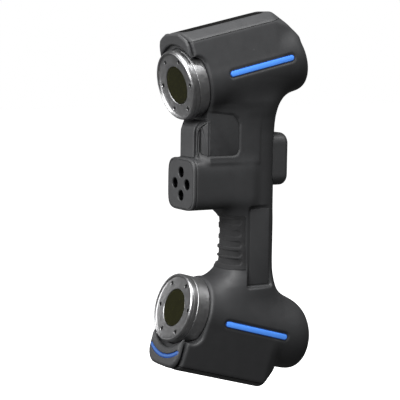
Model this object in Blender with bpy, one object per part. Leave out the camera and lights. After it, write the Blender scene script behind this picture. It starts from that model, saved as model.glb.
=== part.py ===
"""Handheld 3-D laser scanner: two tilted camera heads joined by a grip, with a projector between.

Dimensions are in millimetres and become metres when a mesh is made. The layout is worked out
from the point halfway between the faces of the two lens rings, with -Y to the front, +Z up
and +X the scanner's left side; an empty then moves it so that the middle of the whole object's
bounding box is the origin. Each head has its own frame: x across, o outward, away from the
grip, and s backward along the line of sight, from the front face of the lens ring.
"""

import math

import bmesh
import bpy
from mathutils import Matrix, Vector

MM = 0.001
GAP = 0.3                    # clearance between neighbouring pieces
WALL = 3.0                   # housing wall
BOX_CENTRE = (0.0, 57.93, -5.27)    # middle of the bounding box, in the layout's own place

# Heads
RING_SPACING = 178.0         # between the centres of the two ring faces
BARREL_R = 30.0
RING_R = 28.0
ARCH_R = 32.0                # inside of the hood and the chin
SIDE_X = 24.0                # half width of the roof and keel at their seams
HOOD_CORNER = (              # x and o
    (23.5, 27.5), (22.6, 31.5), (20.6, 35.4), (17.0, 37.7), (10.5, 40.6), (8.0, 40.9),
)
CHIN_CORNER = ((24.0, 35.0), (23.56, 38.36), (22.26, 41.5), (20.19, 44.19), (17.5, 46.26),
               (14.36, 47.56), (8.0, 48.0))
FRONT_BLOCKS = {             # head, s of the front and rear, softness and corner
    "hood": ("upper", 5.3, 7.6, 0.6, HOOD_CORNER), "chin": ("lower", 1.8, 5.0, 1.0, CHIN_CORNER),
}
SOFT_EDGE = ((0.0, 4.6), (0.6, 2.4), (1.6, 0.8), (2.8, 0.0))    # depth and inset
TAIL_INSET = 2.6             # of the narrower rear, which leaves a groove
STRIP_HALF = 9.0             # rubber strip along the roof
STRIP_S = (13.8, 91.2)
STRIP_O = (36.7, 40.3)
STRIP_CORNER = 6.7
BAR_START = 36.0             # light bar, along s
BAR_END = 97.0
BAR_O = 2.1
BAR_HEIGHT = 4.2
SOCKET_O = 9.0

# front, rim and step: where the shell starts above the ring, at its sides, and how far out
# the two meet. dome: s, radius and o of the rounded rear. shoulder: x, o and s of the slant
# from the rear edge of the cover down to the dome.
HEADS = {
    "upper": {
        "up": 1, "tilt": 12.9, "front": 8.6, "rim": 16.6, "outer": 33.7, "step": 22.0,
        "rear_side": 88.0, "rear_middle": 95.5, "crown": 40.6, "crown_x": 9.9,
        "dome": ((96.0, 30.0, 0.0), (103.0, 29.5, -0.5), (109.0, 27.6, -2.2),
                 (113.2, 24.2, -4.2), (115.6, 19.5, -6.3), (116.6, 12.0, -7.5)),
        "shoulder": ((22.0, 27.0, 103.0), (22.0, 15.5, 110.5)),
    },
    "lower": {
        "up": -1, "tilt": 15.7, "front": 7.2, "rim": 18.6, "outer": 43.7, "step": 24.0,
        "rear_side": 90.0, "rear_middle": 92.5, "crown": 48.2, "crown_x": 15.0,
        "dome": ((96.0, 30.0, 0.0), (107.0, 29.6, 0.4), (115.5, 27.8, 1.8),
                 (122.4, 24.4, 3.8), (127.0, 19.6, 6.2), (129.2, 13.5, 8.0)),
        "shoulder": ((21.5, 30.0, 99.0),),
    },
}

# Grip: each section is z, front y, rear y and half width
GRIP_SECTIONS = (
    (-96.0, 21.0, 108.0, 27.0), (-82.0, 25.0, 97.0, 26.6), (-74.0, 29.0, 93.2, 25.0),
    (-68.0, 35.5, 91.8, 22.6), (-62.0, 42.5, 91.2, 20.6), (-56.0, 46.6, 91.0, 19.6),
    (-50.0, 47.4, 91.0, 19.3), (-20.0, 47.4, 91.0, 19.2), (-12.0, 42.0, 91.0, 19.3),
    (0.0, 40.0, 91.0, 19.4), (50.0, 40.0, 91.0, 19.6), (62.0, 40.0, 91.4, 21.0),
    (70.0, 38.0, 92.8, 24.0), (78.0, 34.0, 96.0, 26.4), (92.0, 26.0, 104.0, 27.4),
)
GRIP_FULLNESS = 2.6
FINGER_REAR = 58.0           # rear edge of the finger pad
FINGER_Z = (-60.0, -16.0)
FINGER_THICKNESS = 1.3
GROOVE_TOPS = (-18.6, -28.3, -37.0, -44.7, -51.4)
GROOVE_HEIGHT = 5.2
GROOVE_DEPTH = 0.7
GROOVE_REAR = 55.4           # where the grooves end, on the grip's sides
PAD_OUTLINE = (              # side pads of the grip: y and z of the corners
    (62.5, -10.5), (81.0, -10.5), (81.0, -73.0), (59.0, -73.0), (62.5, -60.0),
)
PAD_X = (17.2, 18.0)

# Projector
TUBE_FACE_Y = 6.8
TUBE_HALF = 21.1
TUBE_Z = 10.7
TUBE_FULLNESS = 4.6
PLATE_DEPTH = 2.6
APERTURE_R = 4.35
APERTURE_PITCH = 9.4
MODULE_R = 4.6

# Block between the projector and the upper head
NECK_X = 19.8
NECK_FRONT = (11.4, 13.8)    # front end of the slanted face: x and y
NECK_REAR = (19.8, 22.6)     # rear end of the slanted face
NECK_BROW = (                # the neck's rounded brow under the upper ring: y and z
    (13.8, 51.0), (14.0, 54.0), (15.0, 57.0), (16.8, 59.2), (19.6, 61.0), (23.0, 62.0),
)
COVER_HALF = 10.6
COVER_FRONT_Y = 12.0
COVER_FOOT_Z = 32.2
PANEL_DEPTHS = (1.6, 0.9)    # inside and outside of a side panel, below the neck's side
PANEL_Y = (24.4, 49.4)
PANEL_Z = (34.0, 66.0)
VENT_Z = (34.0, 57.0)
VENT_MARGINS = (4.5, 0.9)    # from the front and rear ends of the slanted face
VENT_DEPTH = 1.6

# Control pod
POD_WIDTH = 30.0
POD_Z = (7.0, 50.5)
POD_Y = (85.0, 101.8)
BUTTON_Z = {"plus_button": 38.6, "scan_button": 28.75, "minus_button": 18.9}
BUTTON_R = {"plus_button": 3.2, "scan_button": 4.8, "minus_button": 3.2}

# Screws: head or grip, place (s and o, or y and z) and half length of the boss
SCREWS = (
    ("upper", 50.0, 21.0, 25.4), ("upper", 92.0, 14.0, 25.6), ("grip", 80.0, 44.0, 18.6),
    ("grip", 80.0, -45.0, 17.6), ("lower", 92.0, 14.0, 27.0), ("lower", 50.0, 30.0, 25.0),
)
BOSS_R = 4.2

COLOURS = {                  # base colour, roughness, metallic
    "shell": ((0.045, 0.046, 0.048), 0.62, 0.0),
    "cover": ((0.055, 0.056, 0.058), 0.60, 0.0),
    "rubber": ((0.020, 0.020, 0.021), 0.80, 0.0),
    "bezel": ((0.22, 0.22, 0.23), 0.32, 1.0),
    "collar": ((0.10, 0.10, 0.105), 0.50, 1.0),
    "glass": ((0.022, 0.020, 0.012), 0.08, 0.0),
    "light": ((0.08, 0.27, 0.85), 0.35, 0.0),
    "metal": ((0.55, 0.56, 0.58), 0.35, 1.0),
    "lens": ((0.02, 0.02, 0.022), 0.40, 0.0),
    "board": ((0.02, 0.16, 0.07), 0.50, 0.0),
    "screw": ((0.12, 0.12, 0.13), 0.35, 1.0),
}


# ---------------------------------------------------------------- scene and frames

def clear_scene():
    for obj in list(bpy.data.objects):
        bpy.data.objects.remove(obj, do_unlink=True)


def add_empty(name, matrix, parent=None):
    empty = bpy.data.objects.new(name, None)
    bpy.context.scene.collection.objects.link(empty)
    empty.parent = parent
    empty.matrix_local = matrix
    return empty


def head_matrix(head):
    """Head frame: its X is across, its Y outward and its Z forward along the line of sight."""
    up = head["up"]
    tilt = math.radians(head["tilt"])
    forward = Vector((0, -math.cos(tilt), -up * math.sin(tilt)))
    outward = Vector((0, -math.sin(tilt), up * math.cos(tilt)))
    across = Vector((up, 0, 0))
    turn = Matrix((across, outward, forward)).transposed().to_4x4()
    place = Vector((0, 0, up * RING_SPACING / 2)) * MM
    return Matrix.Translation(place) @ turn


def make_material(name):
    colour, roughness, metallic = COLOURS[name]
    material = bpy.data.materials.new(name)
    material.use_nodes = True
    shader = material.node_tree.nodes["Principled BSDF"]
    shader.inputs["Base Color"].default_value = (*colour, 1)
    shader.inputs["Roughness"].default_value = roughness
    shader.inputs["Metallic"].default_value = metallic
    material.diffuse_color = (*colour, 1)
    return material


def add_object(name, bm, parent, finish=None):
    """A node with a material when finish is given, and otherwise a hidden cutter or guide."""
    bmesh.ops.recalc_face_normals(bm, faces=bm.faces)
    bmesh.ops.scale(bm, vec=(MM, MM, MM), verts=bm.verts)
    mesh = bpy.data.meshes.new(name)
    bm.to_mesh(mesh)
    bm.free()
    mesh.shade_smooth()
    mesh.set_sharp_from_angle(angle=math.radians(35))
    obj = bpy.data.objects.new(name, mesh)
    bpy.context.scene.collection.objects.link(obj)
    obj.parent = parent
    if finish:
        mesh.materials.append(bpy.data.materials[finish])
    else:
        obj.hide_render = True
        obj.display_type = "WIRE"
    return obj


def combine(obj, operation, others):
    """A Boolean with every one of the others at once, through a collection of their own."""
    group = bpy.data.collections.new(f"{obj.name}_{operation.lower()}")
    for other in others:
        group.objects.link(other)
    modifier = obj.modifiers.new(operation.lower(), "BOOLEAN")
    modifier.operation = operation
    modifier.solver = "EXACT"
    modifier.operand_type = "COLLECTION"
    modifier.collection = group
    return obj


# ---------------------------------------------------------------- shapes

def loft(sections):
    """A closed solid through equal-sized rings of points, with flat ends."""
    bm = bmesh.new()
    rings = [[bm.verts.new(point) for point in section] for section in sections]
    count = len(rings[0])
    for near, far in zip(rings, rings[1:]):
        for i in range(count):
            j = (i + 1) % count
            bm.faces.new((near[i], near[j], far[j], far[i]))
    bm.faces.new(rings[0][::-1])
    bm.faces.new(rings[-1])
    return bm


def prism(outline, low, high):
    """An outline of (x, y) points drawn out along Z."""
    return loft([[(x, y, z) for x, y in outline] for z in (low, high)])


def turned(profile, steps):
    """A closed (radius, s) profile turned about the line of sight; s runs to -Z."""
    bm = bmesh.new()
    columns = []
    for k in range(steps):
        angle = 2 * math.pi * k / steps
        column = []
        for radius, s in profile:
            if radius == 0 and columns:
                column.append(columns[0][len(column)])
            else:
                column.append(bm.verts.new((radius * math.cos(angle), radius * math.sin(angle), -s)))
        columns.append(column)
    count = len(profile)
    for k in range(steps):
        here, there = columns[k], columns[(k + 1) % steps]
        for i in range(count):
            j = (i + 1) % count
            corners = [here[i], here[j], there[j], there[i]]
            corners = list(dict.fromkeys(corners))
            if len(corners) > 2:
                bm.faces.new(corners)
    return bm


def arc(centre, radius, start, end, steps):
    """Points on a circle from start to end degrees, both included."""
    points = []
    for k in range(steps + 1):
        angle = math.radians(start + (end - start) * k / steps)
        points.append((centre[0] + radius * math.cos(angle), centre[1] + radius * math.sin(angle)))
    return points


def rounded_rectangle(low, high, radius, steps=4):
    (x0, y0), (x1, y1) = low, high
    points = arc((x1 - radius, y1 - radius), radius, 0, 90, steps)
    points += arc((x0 + radius, y1 - radius), radius, 90, 180, steps)
    points += arc((x0 + radius, y0 + radius), radius, 180, 270, steps)
    points += arc((x1 - radius, y0 + radius), radius, 270, 360, steps)
    return points


def superellipse(centre, half_x, half_y, power, steps):
    points = []
    for k in range(steps):
        angle = 2 * math.pi * k / steps
        x, y = math.cos(angle), math.sin(angle)
        reach_x = math.copysign(abs(x) ** (2 / power), x)
        reach_y = math.copysign(abs(y) ** (2 / power), y)
        points.append((centre[0] + half_x * reach_x, centre[1] + half_y * reach_y))
    return points


def turn_to(bm, normal):
    """Lays a prism drawn along Z with its length along the given axis instead."""
    turns = {"x": Matrix(((0, 0, 1), (1, 0, 0), (0, 1, 0))),
             "y": Matrix(((1, 0, 0), (0, 0, 1), (0, 1, 0)))}
    bmesh.ops.transform(bm, matrix=turns[normal].to_4x4(), verts=bm.verts)
    return bm


def across_prism(outline, half_width):
    """An outline of (y, z) points drawn out across the scanner."""
    return turn_to(prism(outline, -half_width, half_width), "x")


def front_prism(outline, near, far):
    """An outline of (x, z) points drawn out from near to far along Y."""
    return turn_to(prism(outline, near, far), "y")


def block(low, high):
    return prism(((low[0], low[1]), (high[0], low[1]), (high[0], high[1]), (low[0], high[1])),
                 low[2], high[2])


def cylinder_y(centre_x, centre_z, radius, near, far, steps=14):
    return front_prism(arc((centre_x, centre_z), radius, 0, 360 - 360 / steps, steps - 1), near, far)


# ---------------------------------------------------------------- housing

def convex_solid(points):
    bm = bmesh.new()
    for point in points:
        bm.verts.new(point)
    result = bmesh.ops.convex_hull(bm, input=bm.verts)
    bmesh.ops.delete(bm, geom=list(set(result["geom_interior"])), context="VERTS")
    return bm


def circle_points(radius, o, s, steps=28):
    outline = arc((0, o), radius, 0, 360 - 360 / steps, steps - 1)
    return [(x, y, -s) for x, y in outline]


def barrel_solid(head, inset):
    """The barrel of a head, with its rounded rear end."""
    points = circle_points(BARREL_R - inset, 0, head["front"] + inset)
    for s, radius, o in head["dome"]:
        last = s == head["dome"][-1][0]
        points += circle_points(radius - inset, o, s - inset if last else s)
    return convex_solid(points)


def saddle_solid(head, inset):
    """The prism that carries a head's cover, with its slanted rear."""
    front = head["front"] + inset
    inside = BARREL_R - inset - 0.4
    points = circle_points(inside, 0, front + 0.8, 24)
    points += circle_points(inside, 0, head["rear_side"] - 4, 24)
    top = head["outer"] - inset
    for side in (-1, 1):
        edge = side * (SIDE_X - inset)
        points.append((edge, top, -front))
        points.append((edge, top, inset - head["rear_side"]))
        points.append((side * head["crown_x"], top, inset - head["rear_middle"]))
        for x, o, s in head["shoulder"]:
            points.append((side * (x - inset), o - inset, inset - s))
    return convex_solid(points)


def step_outline(head):
    """Side view (s to -z, o) of what is cleared in front of the rim, with its rounded corner."""
    radius = 8.0
    rim, step = head["rim"], head["step"]
    corner = arc((-rim + radius, step - radius), radius, 90, 180, 5)
    return [(20, -60), (20, step)] + corner + [(-rim, -60)]


def step_cutter(head):
    """The step outline drawn out across the head."""
    outline = [(o, z) for z, o in step_outline(head)]
    return turn_to(prism(outline, -50, 50), "x")


def grip_loft(inset):
    sections = []
    for z, front, rear, half_width in GRIP_SECTIONS:
        outline = superellipse((0, (front + rear) / 2), half_width - inset,
                               (rear - front) / 2 - inset, GRIP_FULLNESS, 24)
        sections.append([(x, y, z) for x, y in outline])
    bm = loft(sections)
    bmesh.ops.triangulate(bm, faces=bm.faces)
    return bm


def tube_outline(inset):
    return superellipse((0, TUBE_Z), TUBE_HALF - inset, TUBE_HALF - inset, TUBE_FULLNESS, 28)


def neck_outline(inset):
    """Plan of the block under the upper head, with slanted front corners."""
    fx, fy = NECK_FRONT
    rx, ry = NECK_REAR
    slant = inset * math.tan(math.radians(22.5))
    right = [(fx - slant, fy + inset), (rx - inset, ry + slant), (rx - inset, 60)]
    return right + [(-x, y) for x, y in reversed(right)]


def neck_solid(name, inset, z0, z1):
    """The neck between two heights, cut back at its rounded brow."""
    neck = add_object(name, prism(neck_outline(inset), z0, z1), scanner)
    shift = inset * math.sin(math.radians(45))
    brow = [(y + shift, z - shift) for y, z in NECK_BROW]
    above = brow + [(brow[-1][0], 90), (-20, 90), (-20, brow[0][1])]
    cutter = turn_to(prism(above, -30, 30), "x")
    return combine(neck, "DIFFERENCE", [add_object(f"{name}_brow", cutter, scanner)])


def grown(outline, margin):
    """An outline moved outward by a margin, corner by corner."""
    points = [Vector(point) for point in outline]
    area = sum(a.x * b.y - b.x * a.y for a, b in zip(points, points[1:] + points[:1]))
    side = 1 if area > 0 else -1
    moved = []
    for i, point in enumerate(points):
        before = (point - points[i - 1]).normalized()
        after = (points[(i + 1) % len(points)] - point).normalized()
        near = Vector((before.y, -before.x)) * side
        far = Vector((after.y, -after.x)) * side
        middle = near + far
        moved.append(tuple(point + middle * (margin / middle.dot(near))))
    return moved


def bar_outline(inset=0.0):
    """Side view of a light bar, with half-round ends, in head coordinates (o, -s)."""
    radius = BAR_HEIGHT / 2
    near = arc((BAR_O, -BAR_START - radius), radius - inset, 0, 180, 6)
    far = arc((BAR_O, -BAR_END + radius), radius - inset, 180, 360, 6)
    return near + far


def screw_frames(parent, head_frames):
    frames = []
    for place, a, b, half in SCREWS:
        if place == "grip":
            frames.append((parent, (0, a, b), half))
        else:
            frames.append((head_frames[place], (0, b, -a), half))
    return frames


def peg(radius, low_x, high_x, centre, steps=12):
    outline = arc((centre[1], centre[2]), radius, 0, 360 - 360 / steps, steps - 1)
    return turn_to(prism(outline, low_x, high_x), "x")


def pod_outline(inset):
    half = POD_WIDTH / 2 - inset
    return rounded_rectangle((-half, POD_Z[0] + inset), (half, POD_Z[1] - inset), 9.0 - inset)


def finger_band(thickness, margin):
    """The front of the grip's outer surface, to a depth, between the pad's ends."""
    z0, z1 = FINGER_Z
    outer = add_object(f"finger_outer_{margin}", grip_loft(-margin * 3), scanner)
    inner = add_object(f"finger_inner_{margin}", grip_loft(thickness), scanner)
    window = block((-40, 30, z0 - margin), (40, FINGER_REAR + margin, z1 + margin))
    return outer, inner, window


def make_shell(frames):
    """The whole hollow housing, with every seat and opening cut, before it is split."""
    outer, inner, cuts = [], [], []
    for name, head in HEADS.items():
        frame = frames[name]
        hull = add_object(f"{name}_barrel", barrel_solid(head, 0), frame)
        combine(hull, "UNION", [add_object(f"{name}_saddle", saddle_solid(head, 0), frame)])
        combine(hull, "DIFFERENCE", [add_object(f"{name}_step", step_cutter(head), frame)])
        outer.append(hull)
        inner.append(add_object(f"{name}_barrel_room", barrel_solid(head, WALL), frame))
        inner.append(add_object(f"{name}_saddle_room", saddle_solid(head, WALL), frame))
        room = head["rim"] - GAP
        clearance = ((0, -20), (RING_R + 0.7, -20), (RING_R + 0.7, room), (0, room))
        cuts.append(add_object(f"{name}_ring_room", turned(clearance, 32), frame))
        for side in (-1, 1):
            ends = sorted((side * 28.4, side * 40))
            pocket = turn_to(prism(bar_outline(-GAP), *ends), "x")
            cuts.append(add_object(f"{name}_bar_pocket_{side}", pocket, frame))
    outer.append(add_object("grip_outer", grip_loft(0), scanner))
    inner.append(add_object("grip_cavity", grip_loft(WALL), scanner))
    tube_rear = 56.0
    tube_front = TUBE_FACE_Y + PLATE_DEPTH + GAP
    outer.append(add_object("tube_outer", front_prism(tube_outline(0), tube_front, tube_rear), scanner))
    inner.append(add_object("tube_cavity", front_prism(tube_outline(WALL), 0, tube_rear), scanner))
    outer.append(neck_solid("neck_outer", 0, 20, 74))
    inner.append(neck_solid("neck_cavity", WALL, 17, 77))

    bosses = []
    for k, (frame, centre, half) in enumerate(screw_frames(scanner, frames)):
        bosses.append(add_object(f"boss_{k}", peg(BOSS_R, -half, half, centre), frame))
        side = 1 if frame is frames["lower"] else -1
        low, high = sorted((side * 50, side * (half - 3.4)))
        cuts.append(add_object(f"head_hole_{k}", peg(2.9, low, high, centre), frame))
        low, high = sorted((side * (half - 2.4), -side * 9))
        cuts.append(add_object(f"shank_hole_{k}", peg(1.5, low, high, centre, 10), frame))

    cuts.append(add_object("pod_seat", front_prism(pod_outline(-GAP), 84, 120), scanner))
    socket = ((0, 110), (7.3, 110), (7.3, 140), (0, 140))
    seat = turned(socket, 16)
    bmesh.ops.translate(seat, vec=(0, SOCKET_O, 0), verts=seat.verts)
    cuts.append(add_object("socket_seat", seat, frames["lower"]))
    for side in (-1, 1):
        floor = side * (NECK_X - PANEL_DEPTHS[0] - GAP)
        low, high = sorted((floor, side * 40))
        outline = rounded_rectangle((PANEL_Y[0] - GAP, PANEL_Z[0] - GAP),
                                    (PANEL_Y[1] + GAP, PANEL_Z[1] + GAP), 5.0)
        cuts.append(add_object(f"panel_pocket_{side}", turn_to(prism(outline, low, high), "x"), scanner))
        low, high = sorted((side * (PAD_X[0] - GAP), side * 40))
        pocket = turn_to(prism(grown(PAD_OUTLINE, GAP), low, high), "x")
        cuts.append(add_object(f"pad_pocket_{side}", pocket, scanner))
        cuts.append(add_object(f"vent_pocket_{side}", vent_block(side, -GAP, -3), scanner))
    band_outer, band_inner, window = finger_band(FINGER_THICKNESS + GAP, GAP)
    combine(band_outer, "DIFFERENCE", [band_inner])
    combine(band_outer, "INTERSECT", [add_object("finger_window_cut", window, scanner)])
    cuts.append(band_outer)

    shell = outer[0]
    combine(shell, "UNION", outer[1:])
    combine(shell, "DIFFERENCE", inner)
    combine(shell, "UNION", bosses)
    return combine(shell, "DIFFERENCE", cuts)


def make_housing(shell):
    for name, low, high in (("housing_left", GAP / 2, 60), ("housing_right", -60, -GAP / 2)):
        half = add_object(name, block((low, -60, -220), (high, 180, 220)), scanner, "shell")
        combine(half, "INTERSECT", [shell])


# ---------------------------------------------------------------- head covers

def cover_section(edge, crown_x, crown, bottom):
    """Section of a head's cover across the head: flat inside, facets rising to a flat crown."""
    right = ((crown_x, bottom), (SIDE_X, bottom), (SIDE_X, edge), (crown_x, crown))
    return list(right) + [(-x, o) for x, o in reversed(right)]


def head_cover(outline, front, rear_side, rear_middle):
    """A cover drawn along s; its rear end stands further back in the middle than at the sides."""
    near = [(x, o, -front) for x, o in outline]
    far = [(x, o, -(rear_side if abs(x) == SIDE_X else rear_middle)) for x, o in outline]
    bm = loft([near, far])
    bm.faces.ensure_lookup_table()
    rear = bm.faces[-1]
    corners = list(rear.verts)
    bm.faces.remove(rear)
    for flat_part in ((0, 1, 2, 3), (7, 0, 3, 4), (4, 5, 6, 7)):
        bm.faces.new([corners[k] for k in flat_part])
    return bm


def strip_outline(margin):
    near, far = STRIP_S
    half = STRIP_HALF + margin
    return rounded_rectangle((-half, -far - margin), (half, margin - near), STRIP_CORNER + margin)


def make_roof(frame):
    head = HEADS["upper"]
    bottom = head["outer"] + GAP
    outline = cover_section(bottom + 0.9, head["crown_x"], head["crown"], bottom)
    bm = head_cover(outline, head["front"], head["rear_side"], head["rear_middle"])
    cover = add_object("roof_cover", bm, frame, "cover")
    pocket = turn_to(prism(strip_outline(GAP), STRIP_O[0] - GAP, 60), "y")
    combine(cover, "DIFFERENCE", [add_object("roof_slot", pocket, frame)])
    add_object("roof_strip", turn_to(prism(strip_outline(0), *STRIP_O), "y"), frame, "rubber")


def make_keel(frame):
    head = HEADS["lower"]
    bottom = head["outer"] + GAP
    outline = cover_section(bottom + 0.6, head["crown_x"], head["crown"], bottom)
    bm = head_cover(outline, head["front"], head["rear_side"], head["rear_middle"])
    add_object("keel_cover", bm, frame, "cover")


def block_outline(inset, corner):
    """Front view of a hood or chin: the outer corner's points, and an arch clear of the ring."""
    half_angle = math.degrees(math.acos((SIDE_X - inset) / ARCH_R))
    right = [(SIDE_X - inset, ARCH_R * math.sin(math.radians(half_angle)))]
    right += [(x - inset, o - inset) for x, o in corner]
    left = [(-x, o) for x, o in reversed(right)]
    return right + left + arc((0, 0), ARCH_R, 180 - half_angle, half_angle, 14)[1:-1]


def make_front_blocks(frames):
    """Hood and chin: rounded front edges, and a narrower rear that leaves a groove."""
    for name, (place, near, far, soft, corner) in FRONT_BLOCKS.items():
        frame = frames[place]
        rear = HEADS[place]["front"] - GAP
        levels = [(near + depth * soft, inset * soft) for depth, inset in SOFT_EDGE]
        levels += [(far, 0.0), (far + 0.1, TAIL_INSET), (rear, TAIL_INSET)]
        sections = [[(x, o, -s) for x, o in block_outline(inset, corner)] for s, inset in levels]
        bm = loft(sections)
        bmesh.ops.triangulate(bm, faces=bm.faces)
        piece = add_object(name, bm, frame, "cover")
        if name == "chin":
            groove = light_arc(38.1, 40.9, 30.0)
            cut = add_object("chin_groove", prism(groove, -near - 1.8, 10), frame)
            combine(piece, "DIFFERENCE", [cut])
            light = prism(light_arc(38.4, 40.6, 29.5), -near - 1.5, -near - 0.1)
            add_object("chin_light", light, frame, "light")


def light_arc(inner, outer, half_angle):
    return (arc((0, 0), inner, 90 - half_angle, 90 + half_angle, 12)
            + arc((0, 0), outer, 90 + half_angle, 90 - half_angle, 12))


# ---------------------------------------------------------------- optics of a head

def make_optics(name, head, frame):
    rim = head["rim"]
    bezel = ((26.2, 0), (27.0, 0), (28.0, 1.0), (28.0, 6.5), (25.4, 6.5), (25.4, 4.2),
             (17.4, 4.2), (17.4, 6.5), (15.4, 6.5), (15.4, 1.9))
    ring = add_object(f"{name}_bezel_ring", turned(bezel, 28), frame, "bezel")
    holes = []
    for k in range(6):
        angle = math.radians(60 * k + 2)
        centre = (21.6 * math.cos(angle), 21.6 * math.sin(angle))
        hole = prism(arc(centre, 1.1, 0, 315, 7), -5.5, 3)
        holes.append(add_object(f"{name}_ring_hole_{k}", hole, frame))
    combine(ring, "DIFFERENCE", holes)
    collar = ((28.0, 6.8), (28.0, rim - 0.8), (26.4, rim - 0.8), (26.4, rim + 8),
              (24.4, rim + 8), (24.4, 6.8))
    add_object(f"{name}_collar", turned(collar, 28), frame, "collar")
    add_object(f"{name}_window", turned(((0, 2.2), (15.0, 2.2), (15.0, 4.0), (0, 4.0)), 24), frame, "glass")
    seal = ((13.4, 4.3), (15.0, 4.3), (15.0, 6.0), (13.4, 6.0))
    add_object(f"{name}_window_seal", turned(seal, 20), frame, "rubber")
    lens = ((0, 6.8), (13.0, 6.8), (13.0, 13.0), (12.0, 14.0), (12.0, 41.6), (0, 41.6))
    add_object(f"{name}_lens_barrel", turned(lens, 20), frame, "lens")
    mount = ((12.4, 29.0), (26.4, 29.0), (26.4, 32.0), (12.4, 32.0))
    add_object(f"{name}_camera_mount", turned(mount, 20), frame, "metal")
    leds = ((17.6, 7.0), (24.0, 7.0), (24.0, 8.6), (17.6, 8.6))
    add_object(f"{name}_led_board", turned(leds, 20), frame, "board")
    board = rounded_rectangle((-16, -15), (16, 16), 2.0, 1)
    add_object(f"{name}_sensor_board", prism(board, -43.5, -41.9), frame, "board")
    for side, label in ((head["up"], "left"), (-head["up"], "right")):
        low, high = sorted((side * 28.7, side * 29.8))
        bar = turn_to(prism(bar_outline(), low, high), "x")
        add_object(f"{name}_{label}_light_bar", bar, frame, "light")


# ---------------------------------------------------------------- projector and neck

def aperture_centres():
    return {"top": (0, TUBE_Z + APERTURE_PITCH), "bottom": (0, TUBE_Z - APERTURE_PITCH),
            "left": (APERTURE_PITCH, TUBE_Z), "right": (-APERTURE_PITCH, TUBE_Z)}


def make_projector():
    rear = TUBE_FACE_Y + PLATE_DEPTH
    plate = add_object("projector_face_plate", front_prism(tube_outline(0), TUBE_FACE_Y, rear),
                       scanner, "cover")
    glass = front_prism(tube_outline(4.4), rear + GAP, rear + 1.4)
    add_object("projector_glass", glass, scanner, "glass")
    carrier = add_object("laser_block", front_prism(tube_outline(4.0), 16, 28), scanner, "metal")
    for label, (x, z) in aperture_centres().items():
        hole = add_object(f"aperture_{label}", cylinder_y(x, z, APERTURE_R, 0, 20), scanner)
        combine(plate, "DIFFERENCE", [hole])
        bore = add_object(f"bore_{label}", cylinder_y(x, z, MODULE_R - 0.2, 10, 40), scanner)
        combine(carrier, "DIFFERENCE", [bore])
        module = cylinder_y(x, z, MODULE_R - 0.6, 12, 36)
        add_object(f"laser_module_{label}", module, scanner, "metal")


def vent_block(side, inset, proud):
    """A plate lying on the neck's slanted face; proud is how far its outside sinks below it."""
    fx, fy = NECK_FRONT
    rx, ry = NECK_REAR
    along = Vector((rx - fx, ry - fy)).normalized()
    out = Vector((along.y, -along.x))
    length = math.hypot(rx - fx, ry - fy)
    near = Vector((fx, fy)) + along * (VENT_MARGINS[0] + inset)
    far = Vector((fx, fy)) + along * (length - VENT_MARGINS[1] - inset)
    outline = [near - out * proud, far - out * proud,
               far - out * (VENT_DEPTH - inset), near - out * (VENT_DEPTH - inset)]
    outline = [(side * point.x, point.y) for point in outline]
    return prism(outline, VENT_Z[0] + inset, VENT_Z[1] - inset)


def cover_profile():
    """Side view of the centre cover, which lies along the neck's front and brow: y and z."""
    rear = [(y - GAP, z) for y, z in NECK_BROW[:-1]]
    front = [(y + COVER_FRONT_Y - NECK_FRONT[1], z) for y, z in NECK_BROW[:-1]]
    return [(rear[0][0], COVER_FOOT_Z)] + rear + front[::-1] + [(front[0][0], COVER_FOOT_Z)]


def make_neck_covers():
    cover = turn_to(prism(cover_profile(), -COVER_HALF, COVER_HALF), "x")
    add_object("centre_cover", cover, scanner, "cover")
    for side, label in ((1, "left"), (-1, "right")):
        add_object(f"{label}_vent_panel", vent_block(side, 0, 0.4), scanner, "cover")
        low, high = sorted(side * (NECK_X - depth) for depth in PANEL_DEPTHS)
        outline = rounded_rectangle((PANEL_Y[0], PANEL_Z[0]), (PANEL_Y[1], PANEL_Z[1]), 4.7)
        add_object(f"{label}_side_panel", turn_to(prism(outline, low, high), "x"), scanner, "shell")


# ---------------------------------------------------------------- grip pads and control pod

def make_grip_pads():
    outer, inner, window = finger_band(FINGER_THICKNESS, 0.0)
    pad = add_object("finger_pad", window, scanner, "rubber")
    combine(pad, "INTERSECT", [outer])
    combine(pad, "DIFFERENCE", [inner])
    grooves = []
    for k, top in enumerate(GROOVE_TOPS):
        radius = GROOVE_HEIGHT / 2
        outline = [(30, top), (30, top - GROOVE_HEIGHT)]
        outline += arc((GROOVE_REAR - radius, top - radius), radius, -90, 90, 6)
        groove = add_object(f"finger_groove_{k}", across_prism(outline, 30), scanner)
        core = add_object(f"groove_core_{k}", grip_loft(GROOVE_DEPTH), scanner)
        grooves.append(combine(groove, "DIFFERENCE", [core]))
    combine(pad, "DIFFERENCE", grooves)
    for side, label in ((1, "left"), (-1, "right")):
        low, high = sorted((side * PAD_X[0], side * PAD_X[1]))
        pad = turn_to(prism(PAD_OUTLINE, low, high), "x")
        add_object(f"{label}_grip_pad", pad, scanner, "rubber")


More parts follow.
